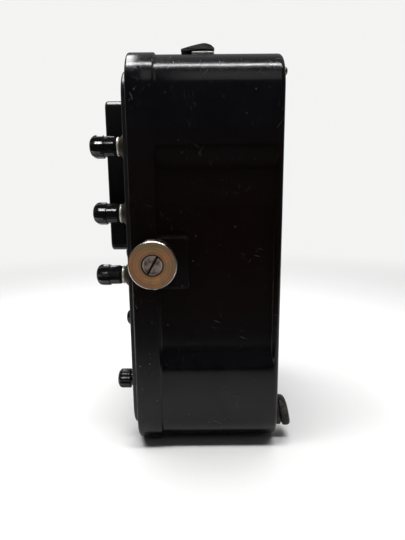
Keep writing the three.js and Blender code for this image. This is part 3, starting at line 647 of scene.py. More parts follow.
def add_world():
    """Pale all round to the eye. What light it gives comes from behind the case and from its sides."""
    world = bpy.data.worlds.new("studio")
    bpy.context.scene.world = world
    world.use_nodes = True
    world.node_tree.nodes.clear()
    g = Graph(world.node_tree, "Generated")
    strength = g.spread(g.axis(0), 0.15, -0.6, 0.02, 0.26)
    given = g.node("ShaderNodeBackground", {"Color": (0.97, 0.98, 1.0, 1), "Strength": strength}).outputs[0]
    seen = g.node("ShaderNodeBackground", {"Color": BACKDROP}).outputs[0]
    eye = g.node("ShaderNodeLightPath").outputs["Is Camera Ray"]
    both = g.node("ShaderNodeMixShader", {0: eye, 1: given, 2: seen}).outputs[0]
    g.node("ShaderNodeOutputWorld", {"Surface": both})


def add_floor():
    """Pale paper that fades into the backdrop with distance, so no horizon shows."""
    bm = bmesh.new()
    bmesh.ops.create_grid(bm, x_segments=2, y_segments=2, size=6000)
    floor = from_bmesh("floor", bm)
    floor.location.z = -0.0001
    r = Recipe("floor_paper", Specular_IOR_Level=0.1)
    tone = r.noise(3, detail=3)
    paper = r.mix(tone, (0.82, 0.82, 0.815), (0.79, 0.79, 0.785))
    gloss = r.node("ShaderNodeLightPath").outputs["Is Glossy Ray"]
    shaded = r.times(r.spread(r.axis(0), 0.07, 0.24, 0.45, 1.0), gloss)
    r.colour(r.mix(shaded, paper, (0.02, 0.02, 0.02)))
    r.rough(r.spread(tone, 0.3, 0.7, 0.6, 0.7))
    away = r.node("ShaderNodeVectorMath", {0: r.coordinates}, operation="LENGTH").outputs["Value"]
    fade = r.spread(away, 0.22, 0.75)
    eye = r.node("ShaderNodeLightPath").outputs["Is Camera Ray"]
    glow = r.node("ShaderNodeEmission", {"Color": BACKDROP, "Strength": 1.0}).outputs[0]
    both = r.node("ShaderNodeMixShader", {0: r.times(fade, eye), 1: r.shader.outputs[0], 2: glow}).outputs[0]
    r.tree.links.new(both, r.tree.nodes["Material Output"].inputs["Surface"])
    floor.data.materials.append(r.material)


bpy.context.scene.view_settings.view_transform = "Standard"
add_camera()
add_world()
add_floor()
STRIP_LAMPS = 15
STRIP_X, STRIP_PITCH, STRIP_HEIGHT = 0.145, 0.036, 0.66
for lamp in range(STRIP_LAMPS):
    along = STRIP_PITCH * (lamp - (STRIP_LAMPS - 1) / 2)
    add_area(f"strip_{lamp}", (STRIP_X, along, STRIP_HEIGHT), (0.10, along, 0), (0.05, 0.014), 0.03,
             spread=110)
add_area("strip_glow", (STRIP_X, 0, STRIP_HEIGHT + 0.02), (0.10, 0, 0), (0.07, 0.6), 0.2, spread=110)
add_area("near_sheen", (0.5, 0.11, 0.6), (0, 0.11, 0.14), (0.3, 0.32), 0.032, spread=90)
add_area("cap_sheen", (-0.02, -0.165, 0.66), (-0.02, -0.165, 0), (0.4, 0.09), 0.5, spread=110)
add_area("pool", (-0.20, 0, 0.85), (-0.15, 0, 0), (0.4, 0.9), 1.9, spread=100, mirrored=False)
add_area("pool_near", (0.15, 0, 0.8), (0.13, 0, 0), (0.16, 1.0), 1.5, spread=110, mirrored=False)
add_area("pool_front", (0.02, -0.45, 0.8), (0, -0.45, 0), (0.3, 0.3), 0.35, spread=110, mirrored=False)
add_area("pool_behind", (-0.85, 0, 0.85), (-0.65, 0, 0), (0.5, 0.9), 0.9, spread=70, mirrored=False)

# ---- Case tub ----

MID_HEIGHT = CASE_TOP / 2
CORNER = 19.0
RIM_BACK = CASE_FRONT + 13.5
BODY_INSET = 1.0
WAIST = 3.0
WAIST_START, WAIST_BLEND = 45.0, 12.0
LIP = 3.0
BACK_FILLET = 2.4
PAD_HALF_HEIGHT, PAD_BACK, PAD_CORNER, PAD_EDGE = 13.0, CASE_FRONT + 29.3, 2.5, 0.55
BUTTON_Y = CASE_FRONT + 11.3
CAVITY = {"half_width": 51.0, "end": 11.5, "corner": 12.0, "back": CASE_BACK - 3.5}
STAND_HALF_WIDTH, STAND_BACK = 34.0, CASE_BACK - 6.0


def dense(low, high, coarse, marks, fine=0.45, reach=1.8):
    """Sample places from low to high, close together round each mark."""
    places = {low, high}
    count = max(1, round((high - low) / coarse))
    places.update(low + (high - low) * i / count for i in range(count + 1))
    for mark in marks:
        steps = int(reach / fine)
        places.update(mark + fine * i for i in range(-steps, steps + 1))
    ordered = sorted(p for p in places if low <= p <= high)
    kept = [ordered[0]]
    for place in ordered[1:]:
        if place - kept[-1] > fine * 0.6:
            kept.append(place)
    kept[-1] = high
    return kept


SIDE_PLACES = dense(
    CORNER, CASE_TOP - CORNER, 4.0,
    [MID_HEIGHT - PAD_HALF_HEIGHT, MID_HEIGHT - PAD_HALF_HEIGHT + 2.4,
     MID_HEIGHT + PAD_HALF_HEIGHT, MID_HEIGHT + PAD_HALF_HEIGHT - 2.4])
SIDE_PLACES = sorted(set(SIDE_PLACES) | {WAIST_START + 1.5 * i for i in range(9)}
                     | {CASE_TOP - WAIST_START - 1.5 * i for i in range(9)})
BASE_PLACES = dense(CORNER - HALF_WIDTH, HALF_WIDTH - CORNER, 8.0,
                    [-STAND_HALF_WIDTH, STAND_HALF_WIDTH], 0.5, 1.0)
CORNER_STEPS = 16


def pad_share(y, z):
    """1 inside the outline of a side wall's pad, 0 outside, with a soft edge."""
    dy = y - (PAD_BACK - PAD_CORNER)
    dz = abs(z - MID_HEIGHT) - (PAD_HALF_HEIGHT - PAD_CORNER)
    outside = math.hypot(max(dy, 0), max(dz, 0)) + min(max(dy, dz), 0) - PAD_CORNER
    return 1 - smoothstep(-PAD_EDGE, PAD_EDGE, outside)


def waist_depth(y, z):
    """How far the waist takes the side wall in."""
    waist = smoothstep(WAIST_START, WAIST_START + WAIST_BLEND, z)
    waist *= 1 - smoothstep(CASE_TOP - WAIST_START - WAIST_BLEND, CASE_TOP - WAIST_START, z)
    waist *= smoothstep(RIM_BACK - 0.6, RIM_BACK + 0.6, y)
    waist *= 1 - smoothstep(CASE_BACK - LIP - 0.7, CASE_BACK - LIP + 0.5, y)
    return WAIST * waist


def quarter_turn(x, y, z, radius, start):
    """Points between the ends of a quarter turn, which starts at an angle in degrees."""
    turns = [math.radians(start + 90 * step / CORNER_STEPS) for step in range(1, CORNER_STEPS)]
    return [(x + radius * math.cos(turn), y, z + radius * math.sin(turn)) for turn in turns]


def outline_ring(y, right, low, high, radius, base, side, top):
    """Base, right side, top and left side, with a quarter turn of the given radius after each."""
    left = [(-x, y, z) for x, _, z in reversed(side)]
    return (base + quarter_turn(right, y, low, radius, -90) + side + quarter_turn(right, y, high, radius, 0)
            + top + quarter_turn(-right, y, high, radius, 90) + left
            + quarter_turn(-right, y, low, radius, 180))


def case_ring(y, inset):
    """Outer outline at one depth, as 3-D points."""
    stand = smoothstep(RIM_BACK - 0.5, RIM_BACK + 0.5, y) * (1 - smoothstep(STAND_BACK, STAND_BACK + 1, y))
    base, side = [], []
    for x in BASE_PLACES:
        raised = stand * (1 - smoothstep(STAND_HALF_WIDTH - 0.5, STAND_HALF_WIDTH + 0.5, abs(x)))
        base.append((x, y, inset * (1 - raised)))
    for z in SIDE_PLACES:
        pad = pad_share(y, z)
        side.append((HALF_WIDTH - inset * (1 - pad * (y > RIM_BACK)) - waist_depth(y, z) * (1 - pad), y, z))
    top = [(x, y, CASE_TOP - inset) for x in reversed(BASE_PLACES)]
    return outline_ring(y, HALF_WIDTH - CORNER, CORNER, CASE_TOP - CORNER, CORNER - inset, base, side, top)


def cavity_ring(y):
    """Inner outline, with a point for every point of the outer one."""
    corner, end = CAVITY["corner"], CAVITY["end"]
    right = CAVITY["half_width"] - corner
    low = end + corner
    high = CASE_TOP - low
    stretch_x = right / (HALF_WIDTH - CORNER)
    stretch_z = (high - low) / (CASE_TOP - 2 * CORNER)
    base = [(x * stretch_x, y, end) for x in BASE_PLACES]
    side = [(CAVITY["half_width"], y, low + (z - CORNER) * stretch_z) for z in SIDE_PLACES]
    top = [(x * stretch_x, y, CASE_TOP - end) for x in reversed(BASE_PLACES)]
    return outline_ring(y, right, low, high, corner, base, side, top)


def case_stations():
    """(depth, inset) pairs from the front edge to the back face."""
    stations = [(CASE_FRONT + 1.1 * (1 - math.cos(a)), 1.1 * (1 - math.sin(a)))
                for a in (math.pi / 2 * s / 5 for s in range(6))]
    stations.append((CASE_FRONT + 6, 0))
    for step in range(7):
        t = step / 6
        stations.append((RIM_BACK - 0.8 + 1.1 * t, BODY_INSET * smoothstep(0, 1, t)))
    body = dense(RIM_BACK + 1.2, CASE_BACK - BACK_FILLET, 5.0,
                 [PAD_BACK, PAD_BACK - 2.4, CASE_BACK - LIP], 0.4, 1.6)
    stations.extend((y, BODY_INSET) for y in body)
    for step in range(1, 8):
        angle = math.pi / 2 * step / 7
        stations.append((CASE_BACK - BACK_FILLET * (1 - math.sin(angle)),
                         BODY_INSET + BACK_FILLET * (1 - math.cos(angle))))
    return stations


LID_DEPTH = 2.3


def make_case():
    rings = [cavity_ring(CAVITY["back"]), cavity_ring(CASE_FRONT)]
    rings += [case_ring(y, inset) for y, inset in case_stations()]
    case = loft("case_shell", rings)
    cover_low, cover_high = node_box("battery_cover")
    recess = box_piece("recess", (cover_low.x - 0.3, CASE_BACK - LID_DEPTH, cover_low.z - 0.3),
                       (cover_high.x + 0.3, CASE_BACK + 1, cover_high.z + 0.3))
    hatch = box_piece("hatch", (-28, CASE_BACK - 8, 14), (28, CASE_BACK + 1, 41))
    boolean(case, [recess, hatch])
    return shade(case, 32)


bakelite = bakelite_material()
dress(make_case(), bakelite, "case", ["case_tub"])


def make_battery_compartment():
    """Open box moulded behind the battery hatch."""
    shell = box_piece("battery_compartment", (-31.5, 0.5, 11.6), (31.5, CAVITY["back"] - 0.02, 44.5))
    inner = box_piece("inner", (-30, 2, 13), (30, CASE_BACK, 43))
    return shade(boolean(shell, [inner]))


dress(make_battery_compartment(), bakelite, "case")

# ---- Finishes shared by the small pieces ----

knob_black = black_moulding("knob_black", (0.006, 0.006, 0.0065), 0.07)
moulding_black = black_moulding("moulding_black", (0.0075, 0.0075, 0.008), 0.14)
laminate = panel_material()
collar_nickel = collar_material()
nickel = metal("nickel_dull", (0.8, 0.78, 0.74), (0.55, 0.5, 0.44), 0.26, bare=0.25)
screw_nickel = metal("screw_nickel", (0.74, 0.68, 0.64), (0.42, 0.34, 0.3), 0.34, amount=0.8, bare=0.35)
brass = metal("brass_aged", (0.6, 0.45, 0.22), (0.3, 0.22, 0.11), 0.34)
olive_brass = metal("brass_olive", (0.36, 0.32, 0.2), (0.16, 0.14, 0.09), 0.4, amount=0.7)
steel = metal("steel_plated", (0.5, 0.5, 0.51), (0.33, 0.32, 0.31), 0.32)
magnet_grey = metal("magnet_alloy", (0.16, 0.16, 0.17), (0.08, 0.07, 0.07), 0.5)
white_print = paint_material("white_print", (0.62, 0.61, 0.56))
dial_paint = paint_material("dial_cream", (0.78, 0.75, 0.66), 0.55)
dial_ink = paint_material("dial_ink", (0.015, 0.015, 0.016), 0.6)
dial_red = paint_material("dial_red", (0.36, 0.03, 0.02), 0.6)
pointer_paint = paint_material("pointer_black", (0.012, 0.012, 0.012), 0.45)
leather = leather_material()
rubber = rubber_material()
glass = glass_material()
copper_wire = winding_material("copper_winding", (0.55, 0.24, 0.1))
phenolic = phenolic_material()
cell_wrap = paint_material("cell_blue", (0.035, 0.085, 0.16), 0.4)

CAD_LOOKS = {
    "magnet": magnet_grey, "pole_piece_left": steel, "pole_piece_right": steel, "core": steel,
    "movement_bracket": steel, "front_bridge": brass, "moving_coil": copper_wire, "hairspring": brass,
    "range_shaft": steel, "range_bushing": brass, "range_wafer": phenolic, "range_rotor": phenolic,
    "ohms_zero_shaft": brass, "potentiometer": steel, "component_board": phenolic, "battery_cell": cell_wrap,
}
CAD_LOOKS.update({f"{name}_insert": brass for name in TERMINALS})
for node, material in CAD_LOOKS.items():
    shown = frame["nodes"][node]
    shown.data.materials.clear()
    shown.data.materials.append(material)

# ---- Front panel ----

PANEL_CORNER = 14.0
PANEL_SCREWS = [(x, z) for z in (19, CASE_TOP - 19) for x in (45, -45)]


def make_panel():
    outline = rounded_rectangle(PANEL_HIGH.x, PANEL_LOW.z, PANEL_HIGH.z, PANEL_CORNER, 14)
    panel = plate("panel_sheet", outline, PANEL_FACE, PANEL_HIGH.y, edge=0.9)
    opening = box_piece("opening", (-32, PANEL_FACE - 1, 109.2), (32, PANEL_HIGH.y + 1, 180))
    sinks = []
    for x, z in PANEL_SCREWS:
        sinks.append(lathe("sink", [(0, -2.4), (1.7, -2.4), (3.5, 0), (3.7, 0.5), (0, 0.5)],
                           (x, PANEL_FACE, z), FORWARD, 32))
    return shade(boolean(panel, [opening] + sinks))


dress(make_panel(), laminate, "case", ["front_panel"])


def slotted_screw(name, centre, out, radius, profile, slot_width, slot_depth, slot_angle, slot_top):
    """A turned head with a screwdriver slot cut across its top."""
    head = lathe(name, profile, centre, out, 48)
    bm = bmesh.new()
    bmesh.ops.create_cube(bm, size=1)
    bmesh.ops.scale(bm, vec=(slot_width, 2 * radius + 2, 2 * slot_depth), verts=bm.verts)
    turn = Vector(out).to_track_quat("Z", "Y").to_matrix().to_4x4()
    spin = Matrix.Rotation(slot_angle, 4, "Z")
    bm.transform(Matrix.Translation(Vector(centre) + Vector(out) * slot_top) @ turn @ spin)
    return shade(boolean(head, [from_bmesh("slot", bm)]))


for number, (x, z) in enumerate(PANEL_SCREWS, 1):
    profile = fillet([(0, -0.1), (3.2, -0.1, 0.25), (1.5, -2.2), (0, -2.2)])
    screw = slotted_screw(f"panel_screw_{number}", (x, PANEL_FACE, z), FORWARD, 3.2, profile,
                          0.9, 0.8, math.radians(35 * number), -0.1)
    dress(screw, screw_nickel, "case")

# ---- Meter housing, window and dial ----

WINDOW_CUT = (31, 128, 179, 3)  # half width, low edge, high edge and corner radius
ADJUST_Z = node_middle("zero_adjust_screw")[2]


def make_bezel():
    outline = rounded_rectangle(BEZEL_HIGH.x, BEZEL_LOW.z, BEZEL_HIGH.z, 4.0, 8)
    housing = plate("meter_housing", outline, BEZEL_FRONT, BEZEL_HIGH.y, edge=1.3, steps=6)
    hollow = box_piece("hollow", (-34, BEZEL_FRONT + 2, 109.5), (34, BEZEL_HIGH.y + 1, BEZEL_HIGH.z - 2.5))
    window = plate("window_cut", rounded_rectangle(*WINDOW_CUT, 6), BEZEL_FRONT - 1, BEZEL_FRONT + 3)
    slope = bevelled_opening()
    hole = lathe("hole", [(0, -3), (3.6, -3), (3.6, 1), (0, 1)], (0, BEZEL_FRONT, ADJUST_Z), FORWARD, 48)
    return shade(boolean(housing, [hollow, window, slope, hole]))


def bevelled_opening():
    """Tool that slopes the window's edge inwards."""
    half_width, low, high, corner = WINDOW_CUT
    rings = []
    for y, grow in ((BEZEL_FRONT - 0.5, 1.7), (BEZEL_FRONT + 1.2, 0.0)):
        outline = rounded_rectangle(half_width + grow, low - grow, high + grow, corner + grow, 6)
        rings.append([(x, y, z) for x, z in outline])
    return loft("slope", rings)


dress(make_bezel(), moulding_black, "case", ["meter_bezel"])


def make_window():
    outline = rounded_rectangle(WINDOW_HIGH.x, WINDOW_LOW.z, WINDOW_HIGH.z, 1.0, 4)
    return plate("window_pane", outline, WINDOW_LOW.y, WINDOW_HIGH.y, edge=0.2, steps=2)


dress(make_window(), glass, "case", ["meter_window"])


def make_dial():
    outline = rounded_rectangle(DIAL_HIGH.x, DIAL_LOW.z, DIAL_HIGH.z, 1.0, 4)
    dial = plate("dial_sheet", outline, DIAL_LOW.y, DIAL_HIGH.y)
    notch = box_piece("notch", (-19, DIAL_LOW.y - 1, DIAL_LOW.z - 1), (19, DIAL_HIGH.y + 1, PIVOT.z + 7))
    return shade(boolean(dial, [notch]))


dress(make_dial(), dial_paint, "case", ["dial_plate"])

SWEEP = 40.0  # the pointer swings this far each side of upright, in degrees


def dial_point(angle, radius, lift=0.03):
    """A point on the dial's face. The angle is in degrees clockwise from upright."""
    turn = math.radians(angle)
    return Vector((PIVOT.x + radius * math.sin(turn), DIAL_LOW.y - lift, PIVOT.z + radius * math.cos(turn)))


def printed(name, strips, material):
    """Thin printed marks: each strip is a list of quads' corner pairs."""
    bm = bmesh.new()
    for pairs in strips:
        for (a, b), (c, d) in zip(pairs, pairs[1:]):
            corners = [a, b, d, c]
            front = [bm.verts.new(p + Vector((0, -0.06, 0))) for p in corners]
            back = [bm.verts.new(p) for p in corners]
            bm.faces.new(front)
            bm.faces.new(reversed(back))
            for i in range(4):
                j = (i + 1) % 4
                bm.faces.new([front[i], back[i], back[j], front[j]])
    return dress(from_bmesh(name, bm), material, "case")


def sweep_angles(divisions):
    """The ends of equal divisions of the dial's sweep, in degrees."""
    return [-SWEEP + 2 * SWEEP * i / divisions for i in range(divisions + 1)]


def arc_strip(inner, outer):
    """A band all along the sweep."""
    return [(dial_point(angle, inner), dial_point(angle, outer)) for angle in sweep_angles(48)]


def tick(angle, inner, outer, width):
    """A radial mark on the dial."""
    half = math.degrees(width / 2 / ((inner + outer) / 2))
    return [(dial_point(angle - half, inner), dial_point(angle - half, outer)),
            (dial_point(angle + half, inner), dial_point(angle + half, outer))]


def scale_strips(radius, divisions, long_every, length):
    strips = [arc_strip(radius, radius + 0.3)]
    for i, angle in enumerate(sweep_angles(divisions)):
        reach, width = (length, 0.34) if i % long_every == 0 else (length * 0.55, 0.22)
        strips.append(tick(angle, radius, radius + reach, width))
    return strips


def label(name, text, place, size, material, turn=0.0):
    """A number printed on a face that looks along -Y."""
    curve = bpy.data.curves.new(name, "FONT")
    curve.body = text
    curve.size = size * MM
    curve.align_x = "CENTER"
    curve.align_y = "CENTER"
    curve.extrude = 0.03 * MM
    writing = bpy.data.objects.new(name, curve)
    bpy.context.scene.collection.objects.link(writing)
    writing.matrix_world = (Matrix.Translation(Vector(place) * MM) @ Matrix.Rotation(turn, 4, "Y")
                            @ Matrix.Rotation(math.radians(90), 4, "X"))
    bpy.context.view_layer.update()
    mesh = bpy.data.meshes.new_from_object(writing.evaluated_get(bpy.context.evaluated_depsgraph_get()))
    mesh.transform(writing.matrix_world)
    bpy.data.objects.remove(writing)
    return dress(link(name, mesh), material, "case")


def make_scales():
    printed("scale_upper", scale_strips(43.0, 50, 5, 2.6), dial_ink)
    printed("scale_middle", scale_strips(35.5, 30, 5, 2.2), dial_ink)
    printed("scale_lower", scale_strips(28.5, 20, 4, 2.0), dial_red)
    for i, angle in enumerate(sweep_angles(5)):
        turn = math.radians(angle)
        label(f"upper_number_{i}", str(i * 10), dial_point(angle, 48.2), 3.4, dial_ink, turn)
        label(f"lower_number_{i}", str(i * 2), dial_point(angle, 32.8), 2.2, dial_red, turn)
    for i, angle in enumerate(sweep_angles(6)):
        turn = math.radians(angle)
        label(f"middle_number_{i}", str(i * 5), dial_point(angle, 39.9), 2.6, dial_ink, turn)


make_scales()

TAIL_LENGTH = 7.2


def make_pointer():
    """Knife-edge pointer with its hub, tail and balance weight, built at its rest angle."""
    face = node_box("pointer")[0].y
    turn = Matrix.Rotation(math.radians(-SWEEP), 3, "Y")
    pivot = Vector((PIVOT.x, 0, PIVOT.z))
    rings = []
    for along, half in ((-TAIL_LENGTH, 0.8), (4, 0.8), (30, 0.45), (44, 0.3), (47, 0.12)):
        section = [(-half, 0.0), (0, 0.0), (half, 0.0), (half, 0.6), (-half, 0.6)]
        rings.append([turn @ Vector((x, y + face, along)) + pivot for x, y in section])
    blade = loft("pointer_blade", rings)
    hub = lathe("hub", fillet([(0, 1.4), (0, 1.4), (2.6, 1.4), (2.6, 0.0, 0.3), (0, 0.0)]),
                (PIVOT.x, face, PIVOT.z), BACKWARD, 40)
    tail = turn @ Vector((0, 0, -TAIL_LENGTH)) + Vector((PIVOT.x, face, PIVOT.z))
    weight = lathe("weight", [(0, 0), (2.1, 0), (2.2, 0.1), (2.2, 1.4), (0, 1.4)], tail, BACKWARD, 32)
    return shade(boolean(blade, [hub, weight], "UNION"))


dress(make_pointer(), pointer_paint, "movement", ["pointer"])

adjuster = slotted_screw(
    "adjuster_screw", (0, BEZEL_FRONT, ADJUST_Z), FORWARD, 3.5,
    fillet([(0, -0.1), (3.5, -0.1, 0.4), (3.5, -2.3), (4.3, -2.3), (4.3, -2.9), (0, -2.9)]),
    0.9, 0.8, math.radians(90), -0.1)
dress(adjuster, moulding_black, "zero_adjuster", ["zero_adjust_screw"])

# ---- Range knob ----

RANGE_Z = (RANGE_LOW.z + RANGE_HIGH.z) / 2
RANGE_RADIUS = RANGE_HIGH.x


def make_range_knob():
    """Low disc with a ridged edge and a tapered bar grip."""

    def ridged(radius, distance, angle):
        if radius < RANGE_RADIUS - 1.2 or distance < 0.6:
            return radius
        return radius - 0.25 * (0.5 + 0.5 * math.cos(48 * angle))

    disc = lathe("range_disc", fillet([(0, 3.2), (RANGE_RADIUS - 1.6, 3.0, 0.4), (RANGE_RADIUS, 1.6, 0.4),
                                       (RANGE_RADIUS, 0.5, 0.2), (0, 0.5)]),
                 (0, PANEL_FACE, RANGE_Z), FORWARD, 192, ridged)
    rings = []
    for height, half, reach in ((2.0, 4.6, 17.0), (5.0, 4.0, 16.6), (8.0, 3.3, 16.0), (8.5, 2.7, 15.4)):
        outline = [(-half, -reach + 1.5), (-half + 1.5, -reach), (half - 1.5, -reach), (half, -reach + 1.5),
                   (half, reach - 6), (0.5, reach), (-0.5, reach), (-half, reach - 6)]
        rings.append([(x, PANEL_FACE - height, RANGE_Z + z) for x, z in outline])
    bar = bevel(loft("bar", rings), 0.5, 3, 25)
    return shade(boolean(disc, [bar], "UNION"), 30)


dress(make_range_knob(), knob_black, "range_switch", ["range_knob"])


def make_range_index():
    """White line let into the grip's nose."""
    return box_piece("range_index_line", (-0.35, PANEL_FACE - 8.53, RANGE_Z + 5),
                     (0.35, PANEL_FACE - 8.2, RANGE_Z + 14.6))


dress(make_range_index(), white_print, "range_switch")


def panel_point(angle, radius, lift=0.02):
    turn = math.radians(angle)
    return Vector((radius * math.sin(turn), PANEL_FACE - lift, RANGE_Z + radius * math.cos(turn)))


RANGE_FIRST, RANGE_STEP = -150, 30  # angles of the numbers, in degrees clockwise from upright


def make_range_marks():
    """Generic numbers and ticks round the range knob."""
    strips = []
    half = math.degrees(0.25 / 20)
    for i, text in enumerate(("3", "12", "30", "60", "120", "300", "600", "1", "10", "100", "1000")):
        angle = RANGE_FIRST + RANGE_STEP * i
        edges = (angle - half, angle + half)
        strips.append([(panel_point(edge, 19.2), panel_point(edge, 21.2)) for edge in edges])
        label(f"range_number_{i}", text, panel_point(angle, 24.4), 3.0, white_print)
    printed("range_ticks", strips, white_print)


make_range_marks()

# ---- Terminals and small knob ----

CAP_FLUTES = 10
CAP_FRONT, CAP_SHOULDER, CAP_BACK = 18.0, 10.8, 4.2  # distances out from the panel
CAP_HEAD, CAP_BARREL, CAP_BORE = 5.8, 5.2, 3.55  # radii
CAP_SMOOTH = 4.4  # no flutes inside this radius
CAP_ROWS = dome(CAP_HEAD, CAP_FRONT, 3.8, 0.68, 12) + fillet(
    [(CAP_HEAD, CAP_FRONT - 4.2), (CAP_HEAD, CAP_SHOULDER, 0.5), (CAP_BARREL, CAP_SHOULDER, 0.3),
     (CAP_BARREL, CAP_BACK + 1.3, 0.3), (CAP_BARREL - 0.8, CAP_BACK, 0.3), (CAP_BORE, CAP_BACK),
     (CAP_BORE, 13.6), (0, 13.6)], 4)
POST_ROWS = fillet(
    [(0, 12.8), (2.0, 12.8, 0.3), (2.0, 3.9), (4.8, 3.9, 0.2), (4.8, 3.2, 0.2), (4.1, 3.0, 0.2),
     (6.0, 1.3, 0.4), (6.3, 0.3, 0.2), (2.0, 0.3), (2.0, -2.7), (4.2, -2.7), (4.2, -5.1), (2.0, -5.1),
     (2.0, -10.7), (0, -10.7)], 3)


def make_terminal(name):
    x, _, z = node_middle(name + "_cap")
    place = (x, PANEL_FACE, z)
    turned = math.radians(11.25 + 2.25 * round(2 * math.sin(z)))  # each cap was screwed down by hand

    def shape(radius, distance, angle):
        if radius < CAP_SMOOTH or distance < CAP_BACK + 1.2 or distance > CAP_FRONT - 0.8:
            return radius
        hollow = abs(math.cos(CAP_FLUTES / 2 * (angle - turned)))
        if distance > CAP_SHOULDER - 0.05:
            return radius - 0.55 * hollow * min(1, (radius - CAP_SMOOTH) / 1.0)
        return radius - 0.4 * hollow

    cap = lathe(name + "_cap_moulding", CAP_ROWS, place, FORWARD, 160, shape)
    shade(cap, 24)
    dress(cap, knob_black, name + "_cap", [name + "_cap"])
    post = lathe(name + "_post_metal", POST_ROWS, place, FORWARD, 64)
    dress(post, collar_nickel, "case", [name + "_post"])


for terminal in TERMINALS:
    make_terminal(terminal)


def make_small_knob():
    x, _, z = node_middle("ohms_zero_knob")
    front, back, radius, smooth = 9.2, 2.0, 5.3, 4.2
    rows = dome(radius, front, 2.6, 0.7, 9) + fillet(
        [(radius, front - 3.0), (radius, back, 0.4), (4.0, back, 0.2), (4.0, 0.5), (3.3, 0.5), (3.3, 7.7),
         (0, 7.7)], 3)

    def fluted(reach, distance, angle):
        if reach < smooth or not back - 0.1 <= distance <= front - 0.5:
            return reach
        wave = (0.5 + 0.5 * math.cos(12 * angle)) ** 3
        return reach - 0.55 * wave * min(1, (reach - smooth) / 1.2)

    return lathe("small_knob_moulding", rows, (x, PANEL_FACE, z), FORWARD, 144, fluted)


dress(make_small_knob(), knob_black, "ohms_zero", ["ohms_zero_knob"])

# ---- Strap buttons ----

SLOT_ANGLE = math.radians(60)  # from level


def make_button(side, name):
    place = (side * HALF_WIDTH, BUTTON_Y, MID_HEIGHT)
    out = (side, 0, 0)
    rows = fillet([(3.3, 0.3), (8.0, 0.3), (8.0, 2.0, 0.3), (11.4, 2.0, 0.2), (12.0, 2.6, 0.2),
                   (12.0, 5.6, 0.12), (11.6, 6.0, 0.1), (5.45, 6.0, 0.15), (5.35, 3.8), (3.3, 3.8),
                   (3.3, 0.3)], 3)
    disc = lathe(f"button_disc_{name}", rows, place, out, 128)
    dress(disc, worn_button_material(side), "case", [f"strap_button_{name}"])
    head = [(0, 5.9), (4.2, 5.85, 0.5), (4.95, 5.5, 0.3), (5.0, 4.1), (3.0, 4.1), (3.0, -5.5), (0, -5.5)]
    screw = slotted_screw(f"button_screw_{name}", place, out, 5.0, fillet(head, 4), 1.05, 1.3,
                          SLOT_ANGLE - math.pi / 2, 5.9)
    dress(screw, button_screw_material(side), "case", [f"strap_button_screw_{name}"])


make_button(1, "right")
make_button(-1, "left")

# ---- Hand strap ----

STRAP_Y = (STRAP_LOW.y + STRAP_HIGH.y) / 2
STRAP_HALF = (STRAP_HIGH.y - STRAP_LOW.y) / 2
# The old leather has curled: place across the band from -1 (front) to 1, middle height, thickness
STRAP_SECTION = [(-1, 0.3, 0.8), (-0.75, 0.55, 1.5), (-0.4, 1.1, 1.9), (0, 1.75, 2.1), (0.42, 2.0, 2.6),
                 (0.8, 1.5, 1.9), (1, 0.7, 0.7)]
STRAP_RISE = STRAP_HIGH.z - STRAP_LOW.z - 3.7
STRAP_ROUTE = [(0, 1), (10, 0.95), (20, 0.72), (26, 0.38), (29, 0.1), (33, 0), (50, 0)]


def strap_height(x):
    """Height of the strap's underside above its flat ends."""
    reach = abs(x)
    for (x0, share0), (x1, share1) in zip(STRAP_ROUTE, STRAP_ROUTE[1:]):
        if reach <= x1:
            t = (reach - x0) / (x1 - x0)
            return STRAP_RISE * (share0 + (share1 - share0) * (t * 0.6 + 0.4 * t * t * (3 - 2 * t)))
    return 0.0


def strap_section(across):
    """Middle height and thickness at one place across the band, on a smooth curve through the section."""
    rows = STRAP_SECTION
    last = len(rows) - 1
    i = min(max(sum(across > row[0] for row in rows) - 1, 0), last - 1)
    width = rows[i + 1][0] - rows[i][0]
    t = (across - rows[i][0]) / width
    found = []
    for part in (1, 2):
        def slope(k):
            before, after = rows[max(k - 1, 0)], rows[min(k + 1, last)]
            return (after[part] - before[part]) / (after[0] - before[0]) * width
        start, end = rows[i][part], rows[i + 1][part]
        found.append(start * (1 + 2 * t) * (1 - t) ** 2 + end * (3 - 2 * t) * t ** 2
                     + slope(i) * t * (1 - t) ** 2 - slope(i + 1) * t ** 2 * (1 - t))
    return found


STRAP_STEPS_ALONG, STRAP_STEPS_ACROSS = 96, 28


def make_strap():
    """A folded leather band: rings across the strap, one at each place along it."""
    rings = []
    for step in range(STRAP_STEPS_ALONG + 1):
        x = STRAP_HIGH.x * (-1 + 2 * step / STRAP_STEPS_ALONG)
        slope = (strap_height(x + 0.2) - strap_height(x - 0.2)) / 0.4
        normal = Vector((-slope, 0, 1)).normalized()
        top, under = [], []
        for i in range(STRAP_STEPS_ACROSS + 1):
            across = -1 + 2 * i / STRAP_STEPS_ACROSS
            middle, thickness = strap_section(across)
            centre = Vector((x, STRAP_Y + across * STRAP_HALF, STRAP_LOW.z + strap_height(x) + middle))
            top.append(centre + normal * (thickness / 2))
            under.append(centre - normal * (thickness / 2))
        rings.append(top + under[::-1])
    return shade(loft("strap_leather", rings), 50)


dress(make_strap(), leather, "case", ["hand_strap"])


def round_head(radius, base, height):
    """Profile of a screw's domed head, from its tip out to its rim."""
    turns = [step * math.pi / 12 for step in range(7)]
    return [(radius * math.sin(turn), base + height * math.cos(turn)) for turn in turns]


